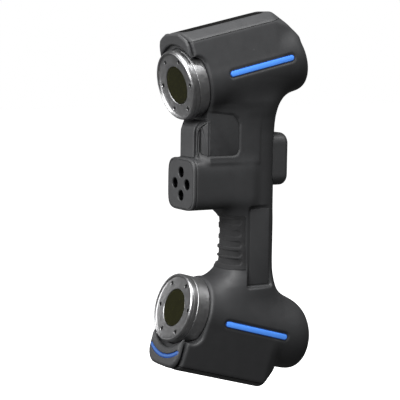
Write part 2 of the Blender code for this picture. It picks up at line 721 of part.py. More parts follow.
def make_pod():
    near, far = POD_Y
    levels = ((near, 0), (far - 5.2, 0), (far - 2.4, 1.0), (far - 0.7, 2.8), (far, 5.2))
    sections = [[(x, y, z) for x, z in pod_outline(inset)] for y, inset in levels]
    pod = add_object("control_pod", loft(sections), scanner, "cover")
    hollow = add_object("pod_hollow", front_prism(pod_outline(2.4), 80, far - 2.4), scanner)
    combine(pod, "DIFFERENCE", [hollow])
    for name, z in BUTTON_Z.items():
        radius = BUTTON_R[name]
        hole = add_object(f"{name}_hole", cylinder_y(0, z, radius + GAP, 90, 110), scanner)
        combine(pod, "DIFFERENCE", [hole])
        face = add_empty(f"{name}_slide", Matrix.Translation(Vector((0, far, z)) * MM), scanner)
        stem = ((0, -0.6), (radius - 0.5, -0.6), (radius, -0.2), (radius, 2.9), (radius + 0.7, 2.9),
                (radius + 0.7, 3.9), (0, 3.9))
        bm = turned(stem, 16)
        bmesh.ops.rotate(bm, cent=(0, 0, 0), matrix=Matrix.Rotation(math.radians(-90), 3, "X"),
                         verts=bm.verts)
        add_object(name, bm, face, "rubber")
    board = rounded_rectangle((-11.5, POD_Z[0] + 4), (11.5, POD_Z[1] - 4), 4.0, 3)
    add_object("button_board", front_prism(board, far - 7.4, far - 5.8), scanner, "board")


# ---------------------------------------------------------------- inside the grip

def to_side(head, s, o):
    """A head's (s, o) point in the side view of the whole scanner, as (y, z)."""
    tilt = math.radians(head["tilt"])
    y = s * math.cos(tilt) - o * math.sin(tilt)
    z = head["up"] * (RING_SPACING / 2 + s * math.sin(tilt) + o * math.cos(tilt))
    return y, z


def make_backbone():
    """Stiff C-shaped frame that carries both camera mounts."""
    upper, lower = HEADS["upper"], HEADS["lower"]
    front_y, rear_y = 62.0, 71.0
    outline = [to_side(upper, 32.3, -17), to_side(upper, 32.3, -24), (front_y, 62), (front_y, -60),
               to_side(lower, 32.3, -24), to_side(lower, 32.3, -17), (rear_y, -90), (rear_y, 90)]
    add_object("optical_backbone", across_prism(outline, 5), scanner, "metal")


def make_inner_parts(frames):
    make_backbone()
    board = rounded_rectangle((54.5, -50.0), (74.0, 56.0), 2.0, 1)
    add_object("main_board", turn_to(prism(board, 8.5, 10.1), "x"), scanner, "board")
    socket = ((0, 117.0), (7.0, 117.0), (7.0, 126.6), (4.6, 126.6), (4.6, 119.0), (0, 119.0))
    bm = turned(socket, 16)
    bmesh.ops.translate(bm, vec=(0, SOCKET_O, 0), verts=bm.verts)
    add_object("cable_socket", bm, frames["lower"], "metal")
    for k, (frame, centre, half) in enumerate(screw_frames(scanner, frames)):
        side = 1 if frame is frames["lower"] else -1
        low, high = sorted((side * (half - 3.1), side * (half - 1.3)))
        screw = add_object(f"housing_screw_{k + 1}", peg(2.6, low, high, centre), frame, "screw")
        low, high = sorted((side * (half - 2.6), -side * 8))
        shank = add_object(f"screw_shank_{k}", peg(1.2, low, high, centre, 8), frame)
        combine(screw, "UNION", [shank])


# ---------------------------------------------------------------- assembly

clear_scene()
for finish_name in COLOURS:
    make_material(finish_name)
scanner = add_empty("scanner", Matrix.Translation(-Vector(BOX_CENTRE) * MM))
head_frames = {
    head_name: add_empty(f"{head_name}_head_frame", head_matrix(spec), scanner)
    for head_name, spec in HEADS.items()
}
make_housing(make_shell(head_frames))
make_roof(head_frames["upper"])
make_keel(head_frames["lower"])
make_front_blocks(head_frames)
for head_name, spec in HEADS.items():
    make_optics(head_name, spec, head_frames[head_name])
make_projector()
make_neck_covers()
make_grip_pads()
make_pod()
make_inner_parts(head_frames)
bpy.context.view_layer.update()
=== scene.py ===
"""Looks of the handheld 3-D scanner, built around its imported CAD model.

Lengths are in millimetres in the layout frame of the CAD: the origin is halfway between the
faces of the two lens rings, -Y is the front, +Z is up and +X is the scanner's left side.
Each head also has a frame of its own: x across, o outward, away from the grip, and s backward
along the line of sight, from the front face of the lens ring.
"""

import math

import bmesh
import bpy
import numpy as np
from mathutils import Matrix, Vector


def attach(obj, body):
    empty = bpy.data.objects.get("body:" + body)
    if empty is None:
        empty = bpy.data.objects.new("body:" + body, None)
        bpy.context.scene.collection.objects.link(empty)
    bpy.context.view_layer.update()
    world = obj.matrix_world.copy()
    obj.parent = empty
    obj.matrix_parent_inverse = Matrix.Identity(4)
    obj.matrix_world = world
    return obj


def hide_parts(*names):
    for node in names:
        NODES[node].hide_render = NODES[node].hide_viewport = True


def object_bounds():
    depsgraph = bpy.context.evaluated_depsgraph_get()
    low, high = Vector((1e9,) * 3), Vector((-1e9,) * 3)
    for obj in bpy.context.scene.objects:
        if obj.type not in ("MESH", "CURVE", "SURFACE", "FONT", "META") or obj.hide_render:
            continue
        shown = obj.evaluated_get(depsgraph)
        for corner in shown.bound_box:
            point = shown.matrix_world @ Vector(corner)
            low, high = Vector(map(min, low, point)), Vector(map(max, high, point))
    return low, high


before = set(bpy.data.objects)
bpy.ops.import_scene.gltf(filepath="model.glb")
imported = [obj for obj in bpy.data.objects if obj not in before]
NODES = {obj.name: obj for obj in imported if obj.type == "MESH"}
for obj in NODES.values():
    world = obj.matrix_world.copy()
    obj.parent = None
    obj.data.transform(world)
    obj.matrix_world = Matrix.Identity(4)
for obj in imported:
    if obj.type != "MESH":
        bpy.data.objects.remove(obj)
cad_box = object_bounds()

import openvdb
from mathutils import Matrix, Vector

MM = 0.001
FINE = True

# Driving dimensions of the shell: those of the CAD, but the grip is narrower inside the heads
BARREL_R = 30.0
RING_ROOM_R = 28.7           # clearance hole round the collar
OPTICS_ROOM_R = 27.2         # and behind it
WALL = 3.0
SIDE_X = 24.0                # half width of the roof and keel at their seams
SEAM = 0.45
LIP_R = 2.6                  # rounding of the shell's front edges
WINDOW_MIDDLE = 3.1          # where the middle of a window lies, along s
HEAD_SHAPES = {
    "upper": {
        "front": 8.6, "rim": 16.6, "outer": 33.7, "step": 22.0, "edge": 34.9,
        "rear_side": 88.0, "rear_middle": 95.5, "crown": 40.6, "crown_x": 9.9,
        "dome_length": 21.0, "dome_drop": -8.0,
        "shoulder": ((22.0, 27.0, 103.0), (22.0, 15.5, 110.5)),
    },
    "lower": {
        "front": 7.2, "rim": 18.6, "outer": 43.7, "step": 24.0, "edge": 44.6,
        "rear_side": 90.0, "rear_middle": 92.5, "crown": 48.2, "crown_x": 15.0,
        "dome_length": 34.0, "dome_drop": 8.4,
        "shoulder": ((21.5, 30.0, 99.0),),
    },
}
BEFORE_FRONT = -12.0         # where the heads' solids start, before their fronts are cut
DOME_START = 96.0
FRONT_CORNER_R = 8.0
GRIP_SECTIONS = (            # z, front y, rear y, half width
    (-96.0, 21.0, 108.0, 22.0), (-82.0, 25.0, 97.0, 24.8), (-74.0, 29.0, 93.2, 24.4),
    (-68.0, 35.5, 91.8, 22.6), (-62.0, 42.5, 91.2, 20.6), (-56.0, 46.6, 91.0, 19.6),
    (-50.0, 47.4, 91.0, 19.3), (-20.0, 47.4, 91.0, 19.2), (-12.0, 42.0, 91.0, 19.3),
    (0.0, 40.0, 91.0, 19.4), (50.0, 40.0, 91.0, 19.6), (62.0, 40.0, 91.4, 21.0),
    (70.0, 38.0, 92.8, 23.0), (78.0, 34.0, 96.0, 24.4), (92.0, 26.0, 104.0, 22.0),
)
GRIP_FULLNESS = 2.6
TUBE_HALF = 21.1
TUBE_Z = 10.7
TUBE_FULLNESS = 4.6
TUBE_FRONT_Y = 9.7
TUBE_REAR_Y = 68.0
TUBE_WALL = 2.6
NECK_FRONT = (11.4, 13.8)
NECK_REAR = (19.8, 22.6)
NECK_Z = (28.0, 74.0)
NECK_BROW = (                # the neck's rounded brow under the upper ring: y and z
    (13.8, 30.0), (13.8, 51.0), (14.0, 54.0), (15.0, 57.0), (16.8, 59.2), (19.6, 61.0),
    (23.0, 62.0), (23.0, 90.0), (80.0, 90.0), (80.0, 0.0), (13.8, 0.0),
)

# Light bars, panels, pads and the pod
BAR_S = (36.0, 97.0)
BAR_O = 2.1
BAR_HEIGHT = 4.2
BAR_X = (28.7, 29.8)
BAR_SEAT_X = 28.4
PANEL_X = (18.2, 18.9)
PANEL_OUTLINE = (            # side panel, left open at the front by the slanted face: y and z
    (20.0, 34.0), (44.5, 34.0), (47.6, 34.9), (49.4, 38.5), (49.4, 59.0), (47.8, 63.0),
    (43.5, 66.0), (20.0, 68.5),
)
PAD_OUTLINE = ((62.5, -10.5), (81.0, -10.5), (81.0, -73.0), (59.0, -73.0), (62.5, -60.0))
PAD_X = (17.2, 18.0)
PAD_CORNER = 2.0
FINGER_Z = (-60.0, -16.0)
FINGER_REAR = 58.0
FINGER_THICKNESS = 1.3
POD_HALF = 15.0
POD_Z = (7.0, 50.5)
POD_Y = (85.0, 101.8)


# ---------------------------------------------------------------- frames

def middle_of(node):
    """Mean of a node's different points, in metres. For a turned part it lies on the part's axis."""
    points = np.array([vertex.co for vertex in NODES[node].data.vertices])
    return Vector(np.unique(points.round(6), axis=0).mean(axis=0))


class Head:
    """A camera head's frame, worked out from its window and its lens barrel."""

    def __init__(self, name):
        self.name = name
        self.up = 1 if name == "upper" else -1
        window = middle_of(f"{name}_window")
        self.back = (middle_of(f"{name}_lens_barrel") - window).normalized()
        self.outward = Vector((0, -self.back.z, self.back.y)) * self.up
        self.across = Vector((self.up, 0, 0))
        self.face = window - self.back * WINDOW_MIDDLE * MM
        self.shape = HEAD_SHAPES[name]

    def matrix(self):
        """Takes (x, o, -s) to the layout frame."""
        turn = Matrix((self.across, self.outward, -self.back)).transposed().to_4x4()
        return Matrix.Translation((self.face - ORIGIN) / MM) @ turn

    def side_view(self, y, z):
        """(s, o) of points given by y and z in the layout frame."""
        place = (self.face - ORIGIN) / MM
        dy, dz = y - place.y, z - place.z
        return dy * self.back.y + dz * self.back.z, dy * self.outward.y + dz * self.outward.z


ORIGIN = Vector()
HEADS = {name: Head(name) for name in ("upper", "lower")}
ORIGIN = (HEADS["upper"].face + HEADS["lower"].face) / 2


# ---------------------------------------------------------------- outlines and simple solids

def arc(centre, radius, start, end, steps):
    """Points on a circle from start to end degrees, both included."""
    angles = np.radians(np.linspace(start, end, steps + 1))
    return [(centre[0] + radius * math.cos(a), centre[1] + radius * math.sin(a)) for a in angles]


def rounded_rectangle(low, high, radius, steps=10):
    (x0, y0), (x1, y1) = low, high
    points = arc((x1 - radius, y1 - radius), radius, 0, 90, steps)
    points += arc((x0 + radius, y1 - radius), radius, 90, 180, steps)
    points += arc((x0 + radius, y0 + radius), radius, 180, 270, steps)
    return points + arc((x1 - radius, y0 + radius), radius, 270, 360, steps)


def superellipse(centre, half_x, half_y, power, steps):
    angles = np.linspace(0, 2 * math.pi, steps, endpoint=False)
    x, y = np.cos(angles), np.sin(angles)
    x = centre[0] + half_x * np.sign(x) * np.abs(x) ** (2 / power)
    y = centre[1] + half_y * np.sign(y) * np.abs(y) ** (2 / power)
    return list(zip(x.tolist(), y.tolist()))


def outward(bm):
    """Turns the faces of a closed solid outward."""
    bmesh.ops.recalc_face_normals(bm, faces=bm.faces)
    return bm


def placed(bm, matrix):
    bmesh.ops.transform(bm, matrix=matrix, verts=bm.verts)
    return bm


def shifted(bm, *by):
    bmesh.ops.translate(bm, vec=by, verts=bm.verts)
    return bm


def loft(sections):
    """A closed solid through equal-sized rings of points, with flat ends."""
    bm = bmesh.new()
    rings = [[bm.verts.new(point) for point in section] for section in sections]
    for near, far in zip(rings, rings[1:]):
        for i in range(len(near)):
            j = (i + 1) % len(near)
            bm.faces.new((near[i], near[j], far[j], far[i]))
    bm.faces.new(rings[0][::-1])
    bm.faces.new(rings[-1])
    return outward(bm)


AXIS_TURNS = {
    "x": Matrix(((0, 0, 1), (1, 0, 0), (0, 1, 0))).to_4x4(),
    "y": Matrix(((1, 0, 0), (0, 0, 1), (0, 1, 0))).to_4x4(),
    "z": Matrix.Identity(4),
}


def prism(outline, low, high, along="z"):
    """An outline drawn out along one axis; its points are given along the other two."""
    bm = loft([[(x, y, z) for x, y in outline] for z in (low, high)])
    return outward(placed(bm, AXIS_TURNS[along]))


def turned(profile, steps=128):
    """A closed (radius, s) profile turned about the line of sight; s runs to -Z."""
    bm = bmesh.new()
    columns = []
    for k in range(steps):
        angle = 2 * math.pi * k / steps
        column = []
        for radius, s in profile:
            if radius == 0 and columns:
                column.append(columns[0][len(column)])
            else:
                column.append(bm.verts.new((radius * math.cos(angle), radius * math.sin(angle), -s)))
        columns.append(column)
    for k in range(steps):
        here, there = columns[k], columns[(k + 1) % steps]
        for i in range(len(profile)):
            j = (i + 1) % len(profile)
            corners = list(dict.fromkeys((here[i], here[j], there[j], there[i])))
            if len(corners) > 2:
                bm.faces.new(corners)
    return outward(bm)


def convex_solid(points):
    bm = bmesh.new()
    for point in points:
        bm.verts.new(point)
    result = bmesh.ops.convex_hull(bm, input=bm.verts)
    loose = set(result["geom_interior"]) | set(result["geom_unused"])
    bmesh.ops.delete(bm, geom=list(loose), context="VERTS")
    return outward(bm)


# ---------------------------------------------------------------- distance fields

class Region:
    """A box of grid points from x = 0 outward, where solids are mixed as signed distances."""

    def __init__(self, low, high, voxel, reach):
        self.low = np.array((0.0, low[1], low[2]))
        self.voxel = voxel
        self.reach = reach / voxel
        counts = np.ceil((np.array(high) - self.low) / voxel).astype(int) + 1
        self.counts = tuple(counts.tolist())
        along = [self.low[i] + voxel * np.arange(self.counts[i]) for i in range(3)]
        self.x = along[0].astype(np.float32)[:, None, None]
        self.y = along[1].astype(np.float32)[None, :, None]
        self.z = along[2].astype(np.float32)[None, None, :]

    def solid(self, bm):
        """Signed distance from a closed mesh, which is used up."""
        bmesh.ops.triangulate(bm, faces=bm.faces)
        bm.verts.index_update()
        points = np.array([vertex.co for vertex in bm.verts], np.float32)
        faces = np.array([[v.index for v in face.verts] for face in bm.faces], np.uint32)
        bm.free()
        cells = ((points - self.low) / self.voxel).astype(np.float32)
        grid = openvdb.FloatGrid.createLevelSetFromPolygons(
            cells, triangles=faces, transform=openvdb.createLinearTransform(1.0),
            halfWidth=self.reach)
        field = np.empty(self.counts, np.float32)
        grid.copyToArray(field)
        return field * self.voxel

    def mesh(self, field, level=0.0):
        """The surface where the field equals level, with its mirror image across x = 0."""
        whole = np.concatenate((field[:0:-1], field)).astype(np.float32)
        grid = openvdb.FloatGrid(float(whole.max()))
        grid.copyFromArray(whole)
        points, _, quads = grid.convertToPolygons(isovalue=level, adaptivity=0.0)
        points = points * self.voxel + self.low
        points[:, 0] -= self.voxel * (self.counts[0] - 1)
        mesh = bpy.data.meshes.new("draft")
        mesh.from_pydata(points.tolist(), [], quads.tolist())
        return mesh


def outline_distance(u, v, outline):
    """Signed distance of points (u, v) from a closed outline, negative inside."""
    u, v = np.broadcast_arrays(u, v)
    nearest = np.full(u.shape, 1e9)
    inside = np.zeros(u.shape, bool)
    for (u0, v0), (u1, v1) in zip(outline, outline[1:] + outline[:1]):
        du, dv = u1 - u0, v1 - v0
        share = np.clip(((u - u0) * du + (v - v0) * dv) / (du * du + dv * dv + 1e-12), 0, 1)
        nearest = np.minimum(nearest, (u - u0 - share * du) ** 2 + (v - v0 - share * dv) ** 2)
        crosses = (v0 > v) != (v1 > v)
        with np.errstate(divide="ignore", invalid="ignore"):
            inside ^= crosses & (u < u0 + (v - v0) * du / dv)
    return (np.sqrt(nearest) * np.where(inside, -1, 1)).astype(np.float32)


def blended(a, b, reach):
    """Union of two fields that flow into each other within a reach."""
    near = np.maximum(reach - np.abs(a - b), 0)
    return np.minimum(a, b) - near * near / (4 * np.maximum(reach, 1e-6))


def smoothed(field, cells):
    """A field with its sharp edges rounded, by a running mean along each axis, twice over."""
    for axis in (0, 1, 2, 0, 1, 2):
        margins = [(cells, cells) if k == axis else (0, 0) for k in range(3)]
        total = np.cumsum(np.pad(field, margins, mode="reflect"), axis=axis, dtype=np.float64)
        total = np.concatenate((np.zeros_like(np.take(total, [0], axis)), total), axis=axis)
        size = field.shape[axis]
        width = 2 * cells + 1
        far = np.take(total, range(width, width + size), axis)
        field = ((far - np.take(total, range(size), axis)) / width).astype(np.float32)
    return field


def shared(a, b, radius):
    """Intersection of two fields with a rounded edge."""
    return np.minimum(-radius, np.maximum(a, b)) + np.hypot(np.maximum(radius + a, 0),
                                                            np.maximum(radius + b, 0))


# ---------------------------------------------------------------- the shell

CIRCLE_STEPS = 96


def circle_points(radius, o, s):
    last = 360 - 360 / CIRCLE_STEPS
    return [(x, y, -s) for x, y in arc((0, o), radius, 0, last, CIRCLE_STEPS - 1)]


def barrel_solid(shape):
    """Barrel of a head with its rounded rear end, left open-ended at the front."""
    points = circle_points(BARREL_R, 0, BEFORE_FRONT)
    for u in np.linspace(0, 0.997, 20):
        radius = BARREL_R * (1 - u ** 3) ** (1 / 3.6)
        points += circle_points(radius, shape["dome_drop"] * u ** 3,
                                DOME_START + u * shape["dome_length"])
    return convex_solid(points)


def saddle_solid(shape):
    """The prism that carries a head's cover, and the cover itself, with their slanted rear."""
    points = circle_points(BARREL_R - 0.2, 0, BEFORE_FRONT)
    points += circle_points(BARREL_R - 0.2, 0, shape["rear_side"] - 4)
    for side in (-1, 1):
        for s in (BEFORE_FRONT, shape["rear_side"]):
            points.append((side * SIDE_X, shape["edge"], -s))
        for s in (BEFORE_FRONT, shape["rear_middle"]):
            points.append((side * shape["crown_x"], shape["crown"], -s))
        points += [(side * x, o, -s) for x, o, s in shape["shoulder"]]
    return convex_solid(points)


def front_outline(shape):
    """Side view (s, o) of what is left behind the rim, the hood's seat and their corner."""
    front, rim, step = shape["front"], shape["rim"], shape["step"]
    corner = arc((rim - FRONT_CORNER_R, step - FRONT_CORNER_R), FRONT_CORNER_R, 0, 90, 12)
    return [(front, 90), (front, step)] + corner[::-1] + [(rim, -60), (200, -60), (200, 90)]


def smooth_sections(steps):
    """The grip's sections with further ones between them, on a smooth curve."""
    rows = np.array(GRIP_SECTIONS)
    count = len(rows)
    padded = np.vstack((2 * rows[0] - rows[1], rows, 2 * rows[-1] - rows[-2]))
    dense = []
    for i in range(count - 1):
        p0, p1, p2, p3 = padded[i:i + 4]
        gap = [p1[0] - p0[0], p2[0] - p1[0], p3[0] - p2[0]]
        near = gap[1] * ((p2 - p0) / (gap[0] + gap[1]))
        far = gap[1] * ((p3 - p1) / (gap[1] + gap[2]))
        for t in np.linspace(0, 1, steps, endpoint=False):
            dense.append((2 * t ** 3 - 3 * t ** 2 + 1) * p1 + (t ** 3 - 2 * t ** 2 + t) * near
                         + (3 * t ** 2 - 2 * t ** 3) * p2 + (t ** 3 - t ** 2) * far)
    dense.append(rows[-1])
    return dense


def grip_solid():
    sections = []
    for z, front, rear, half_width in smooth_sections(6):
        outline = superellipse((0, (front + rear) / 2), half_width, (rear - front) / 2,
                               GRIP_FULLNESS, 72)
        sections.append([(x, y, z) for x, y in outline])
    return loft(sections)


def neck_outline():
    """Plan (x, y) of the neck, which tapers slightly to the rear."""
    (fx, fy), (rx, ry) = NECK_FRONT, NECK_REAR
    right = [(fx, fy), (rx, ry), (rx, 48.0), (rx - 0.9, 68.0)]
    return right + [(-x, y) for x, y in reversed(right)]


def slab(values, low, high):
    """Distance from the space between two parallel planes."""
    return np.maximum(low - values, values - high)


def bar_distance(s, o, margin):
    """Side view of a light bar, which has half-round ends, grown by a margin."""
    radius = BAR_HEIGHT / 2
    past_end = np.maximum(np.maximum(BAR_S[0] + radius - s, s - BAR_S[1] + radius), 0)
    return np.hypot(o - BAR_O, past_end) - radius - margin


def recessed(field, outline_field, floor_field, edge):
    """Sinks a shallow recess with soft edges into a field."""
    return shared(field, -shared(outline_field, floor_field, edge * 0.7), edge)


def shell_field(region):
    heads = []
    for head in HEADS.values():
        barrel = region.solid(placed(barrel_solid(head.shape), head.matrix()))
        saddle = region.solid(placed(saddle_solid(head.shape), head.matrix()))
        s, o = head.side_view(region.y, region.z)
        reach = np.clip((s - 84) * 0.6, 0, 4.5)
        body = smoothed(blended(barrel, saddle, reach), max(1, round(1.2 / region.voxel)))
        field = shared(body, outline_distance(s, o, front_outline(head.shape)), LIP_R)
        heads.append(recessed(field, bar_distance(s, o, 1.7), 29.2 - region.x, 1.0))
    grip = region.solid(grip_solid())
    field = blended(blended(grip, heads[1], 9.0), heads[0], 9.0)
    outline = superellipse((0, TUBE_Z), TUBE_HALF, TUBE_HALF, TUBE_FULLNESS, 96)
    tube = outline_distance(region.x, region.z, outline)
    tube = shared(shared(tube, TUBE_FRONT_Y - region.y, 0.7), region.y - TUBE_REAR_Y, 8.0)
    field = blended(field, tube, 7.0)
    neck = shared(outline_distance(region.x, region.y, neck_outline()), slab(region.z, *NECK_Z), 0.8)
    neck = shared(neck, outline_distance(region.y, region.z, list(NECK_BROW)), 1.0)
    field = blended(field, neck, 4.0)
    field = recessed(field, outline_distance(region.y, region.z, list(PANEL_OUTLINE)) - 0.9,
                     PANEL_X[1] + 0.05 - region.x, 1.1)
    pad = outline_distance(region.y, region.z, list(PAD_OUTLINE))
    return recessed(field, pad - 1.8, PAD_X[1] + 0.05 - region.x, 1.6)


# ---------------------------------------------------------------- pieces

def linked(name, data):
    """A new object in the scene."""
    made = bpy.data.objects.new(name, data)
    bpy.context.scene.collection.objects.link(made)
    return made


def mesh_from(bm):
    mesh = bpy.data.meshes.new("draft")
    bm.to_mesh(mesh)
    bm.free()
    return mesh


def carved(mesh, operation, others):
    """The mesh after one Boolean with all the other solids, which are used up."""
    group = bpy.data.collections.new("cutters")
    body = linked("carved", mesh)
    helpers = []
    for bm in others:
        helper = linked("cutter", mesh_from(bm))
        group.objects.link(helper)
        helpers.append(helper)
    modifier = body.modifiers.new("carve", "BOOLEAN")
    modifier.operation = operation
    modifier.solver = "MANIFOLD"
    modifier.operand_type = "COLLECTION"
    modifier.collection = group
    graph = bpy.context.evaluated_depsgraph_get()
    result = bpy.data.meshes.new_from_object(body.evaluated_get(graph), depsgraph=graph)
    for helper in helpers:
        draft = helper.data
        bpy.data.objects.remove(helper)
        bpy.data.meshes.remove(draft)
    bpy.data.objects.remove(body)
    bpy.data.meshes.remove(mesh)
    bpy.data.collections.remove(group)
    return result


def add_piece(name, mesh, finish, replaces=(), body="scanner", sharp=40.0, matrix=None):
    """Puts a mesh in layout millimetres into the scene as a named piece of the object."""
    if matrix is not None:
        mesh.transform(matrix)
    mesh.transform(Matrix.Translation(ORIGIN) @ Matrix.Scale(MM, 4))
    mesh.name = name
    mesh.materials.clear()
    mesh.materials.append(MATERIALS[finish])
    mesh.shade_smooth()
    mesh.set_sharp_from_angle(angle=math.radians(sharp))
    piece = linked(name, mesh)
    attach(piece, body)
    if replaces:
        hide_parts(*replaces)


def joined_mesh(solids):
    """Several separate solids as one mesh; they are used up."""
    whole = bmesh.new()
    for bm in solids:
        mesh = mesh_from(bm)
        whole.from_mesh(mesh)
        bpy.data.meshes.remove(mesh)
    return mesh_from(whole)


def solid_from(mesh):
    """A bmesh of a mesh, which is used up."""
    bm = bmesh.new()
    bm.from_mesh(mesh)
    bpy.data.meshes.remove(mesh)
    return bm


def box_solid(low, high):
    (x0, y0, z0), (x1, y1, z1) = low, high
    return prism(((x0, y0), (x1, y0), (x1, y1), (x0, y1)), z0, z1)


# ---------------------------------------------------------------- finishes

class Finish:
    """A procedural material: colour, roughness and bump from noise in the object's own metres."""

    def __init__(self, name, colour, roughness, metallic=0.0, **sockets):
        self.material = bpy.data.materials.new(name)
        self.material.use_nodes = True
        self.tree = self.material.node_tree
        self.shader = self.tree.nodes["Principled BSDF"]
        self.colour = colour
        self.roughness = roughness
        self.shader.inputs["Base Color"].default_value = (*colour, 1)
        self.shader.inputs["Roughness"].default_value = roughness
        self.shader.inputs["Metallic"].default_value = metallic
        for socket, value in sockets.items():
            self.shader.inputs[socket.replace("_", " ")].default_value = value
        self.place = self.node("ShaderNodeTexCoord").outputs["Object"]
        self.height = None

    def node(self, kind, inputs=(), **settings):
        made = self.tree.nodes.new(kind)
        for key, value in settings.items():
            setattr(made, key, value)
        for socket, value in dict(inputs).items():
            if isinstance(value, bpy.types.NodeSocket):
                self.tree.links.new(value, made.inputs[socket])
            else:
                made.inputs[socket].default_value = value
        return made

    def stretched(self, scale):
        """The object's coordinates in metres, stretched along its axes."""
        return self.node("ShaderNodeMapping", {"Vector": self.place, "Scale": scale}).outputs["Vector"]

    def noise(self, size, detail=2.0, place=None, rough=0.5):
        """Noise between about 0 and 1, with features of the given size in millimetres."""
        return self.node("ShaderNodeTexNoise", {
            "Vector": place or self.place, "Scale": 1 / (size * MM), "Detail": detail,
            "Roughness": rough,
        }).outputs["Fac"]

    def ranged(self, value, low, high, new_low, new_high):
        return self.node("ShaderNodeMapRange", {
            "Value": value, "From Min": low, "From Max": high, "To Min": new_low, "To Max": new_high,
        }).outputs["Result"]

    def maths(self, operation, a, b):
        return self.node("ShaderNodeMath", {0: a, 1: b}, operation=operation).outputs[0]

    def mixed(self, share, a, b):
        made = self.node("ShaderNodeMix", data_type="RGBA")
        for socket, value in (("Factor_Float", share), ("A_Color", a), ("B_Color", b)):
            target = next(s for s in made.inputs if s.identifier == socket)
            if isinstance(value, bpy.types.NodeSocket):
                self.tree.links.new(value, target)
            else:
                target.default_value = (*value, 1)
        return next(s for s in made.outputs if s.identifier == "Result_Color")

    def tinted(self, by):
        return tuple(min(1.0, channel * by) for channel in self.colour)

    def vary_colour(self, size, spread):
        """Colour drifts a little over patches of the given size."""
        share = self.ranged(self.noise(size, 3.0), 0.3, 0.7, 0, 1)
        self.paint(self.mixed(share, self.tinted(1 - spread), self.tinted(1 + spread)))
        return self

    def paint(self, colour):
        self.tree.links.new(colour, self.shader.inputs["Base Color"])
        self.painted = colour

    def vary_roughness(self, size, spread):
        """Roughness drifts a little too."""
        low, high = self.roughness - spread, self.roughness + spread
        rough = self.ranged(self.noise(size, 3.0), 0.3, 0.7, low, high)
        self.tree.links.new(rough, self.shader.inputs["Roughness"])
        return self

    def painted_edge_highlight(self, start, end, by):
        """Painted highlight: convex edges painted lighter in patches, where light would catch them."""
        pointy = self.node("ShaderNodeNewGeometry").outputs["Pointiness"]
        share = self.ranged(pointy, start, end, 0, 1)
        patchy = self.maths("MULTIPLY", share, self.ranged(self.noise(3.0), 0.35, 0.6, 0.3, 1))
        self.paint(self.mixed(patchy, self.painted, self.tinted(by)))
        return self

    def bump(self, value, depth, strength=1.0):
        """Adds a layer of bump, depth in millimetres."""
        inputs = {"Height": value, "Distance": depth * MM, "Strength": strength}
        if self.height is not None:
            inputs["Normal"] = self.height
        self.height = self.node("ShaderNodeBump", inputs).outputs["Normal"]
        self.tree.links.new(self.height, self.shader.inputs["Normal"])
        return self


def moulded_plastic(name, colour, roughness, grain=0.55, depth=0.035):
    """Spark-textured moulded plastic: pebbled grain, faint cloudiness and a painted highlight on its
    convex edges.
    """
    finish = Finish(name, colour, roughness, Specular_IOR_Level=0.42)
    # the last step paints a highlight in patches onto the convex edges
    finish.vary_colour(14.0, 0.06).vary_roughness(6.0, 0.05).painted_edge_highlight(0.54, 0.62, 1.45)
    finish.bump(finish.noise(grain, 2.0, rough=0.6), depth)
    return finish.bump(finish.noise(grain * 5, 2.0), depth * 0.8, 0.6)


def soft_rubber(name, colour, roughness=0.82, shine=0.3):
    """Matt rubber; shine is its specular level, and sets how much sheen it has."""
    finish = Finish(name, colour, roughness, Specular_IOR_Level=shine, Sheen_Weight=shine * 0.4,
                    Sheen_Roughness=0.5)
    finish.vary_colour(8.0, 0.10).vary_roughness(5.0, 0.06)
    return finish.bump(finish.noise(0.35, 2.0), 0.02)


def blasted_metal(name, colour, roughness, grain, depth):
    """Bead-blasted and anodised aluminium, with the sparkle of its small facets."""
    finish = Finish(name, colour, roughness, 1.0)
    finish.vary_colour(5.0, 0.10).vary_roughness(2.0, 0.06)
    finish.bump(finish.noise(grain, 3.0, rough=0.65), depth)
    return finish


def plain_metal(name, colour, roughness):
    """Machined metal with fine streaks across Z."""
    finish = Finish(name, colour, roughness, 1.0)
    finish.vary_colour(6.0, 0.06).vary_roughness(3.0, 0.05)
    return finish.bump(finish.noise(0.5, 2.0, finish.stretched((1, 1, 12))), 0.004)


def lit_bar(name, colour, glow):
    """A milky blue diffuser, lit from behind: even, with its glow drifting slightly in patches."""
    finish = Finish(name, colour, 0.34, Specular_IOR_Level=0.5, Coat_Weight=0.25,
                    Coat_Roughness=0.15, Emission_Strength=glow)
    finish.vary_colour(4.0, 0.05)
    share = finish.ranged(finish.noise(7.0, 2.0), 0.3, 0.7, 0, 1)
    shine = finish.mixed(share, finish.tinted(0.95), finish.tinted(1.05))
    finish.tree.links.new(shine, finish.shader.inputs["Emission Color"])
    return finish.bump(finish.noise(0.4), 0.006)


def coated_glass(name, colour):
    """Dark olive filter glass with a faint coating."""
    finish = Finish(name, colour, 0.05, Transmission_Weight=0.75, IOR=1.42, Coat_Weight=0.1,
                    Coat_Roughness=0.03)
    finish.vary_colour(9.0, 0.12)
    return finish.vary_roughness(7.0, 0.015)


def circuit_board(name):
    """Green solder mask with a faint pattern of tracks."""
    finish = Finish(name, (0.012, 0.10, 0.05), 0.42, Coat_Weight=0.5, Coat_Roughness=0.2)
    tracks = finish.node("ShaderNodeTexBrick", {
        "Vector": finish.place, "Scale": 320.0, "Mortar Size": 0.03,
        "Color1": (0.012, 0.10, 0.05, 1), "Color2": (0.010, 0.085, 0.042, 1),
        "Mortar": (0.05, 0.25, 0.10, 1)}).outputs["Color"]
    finish.paint(tracks)
    return finish.bump(finish.noise(0.6), 0.008)


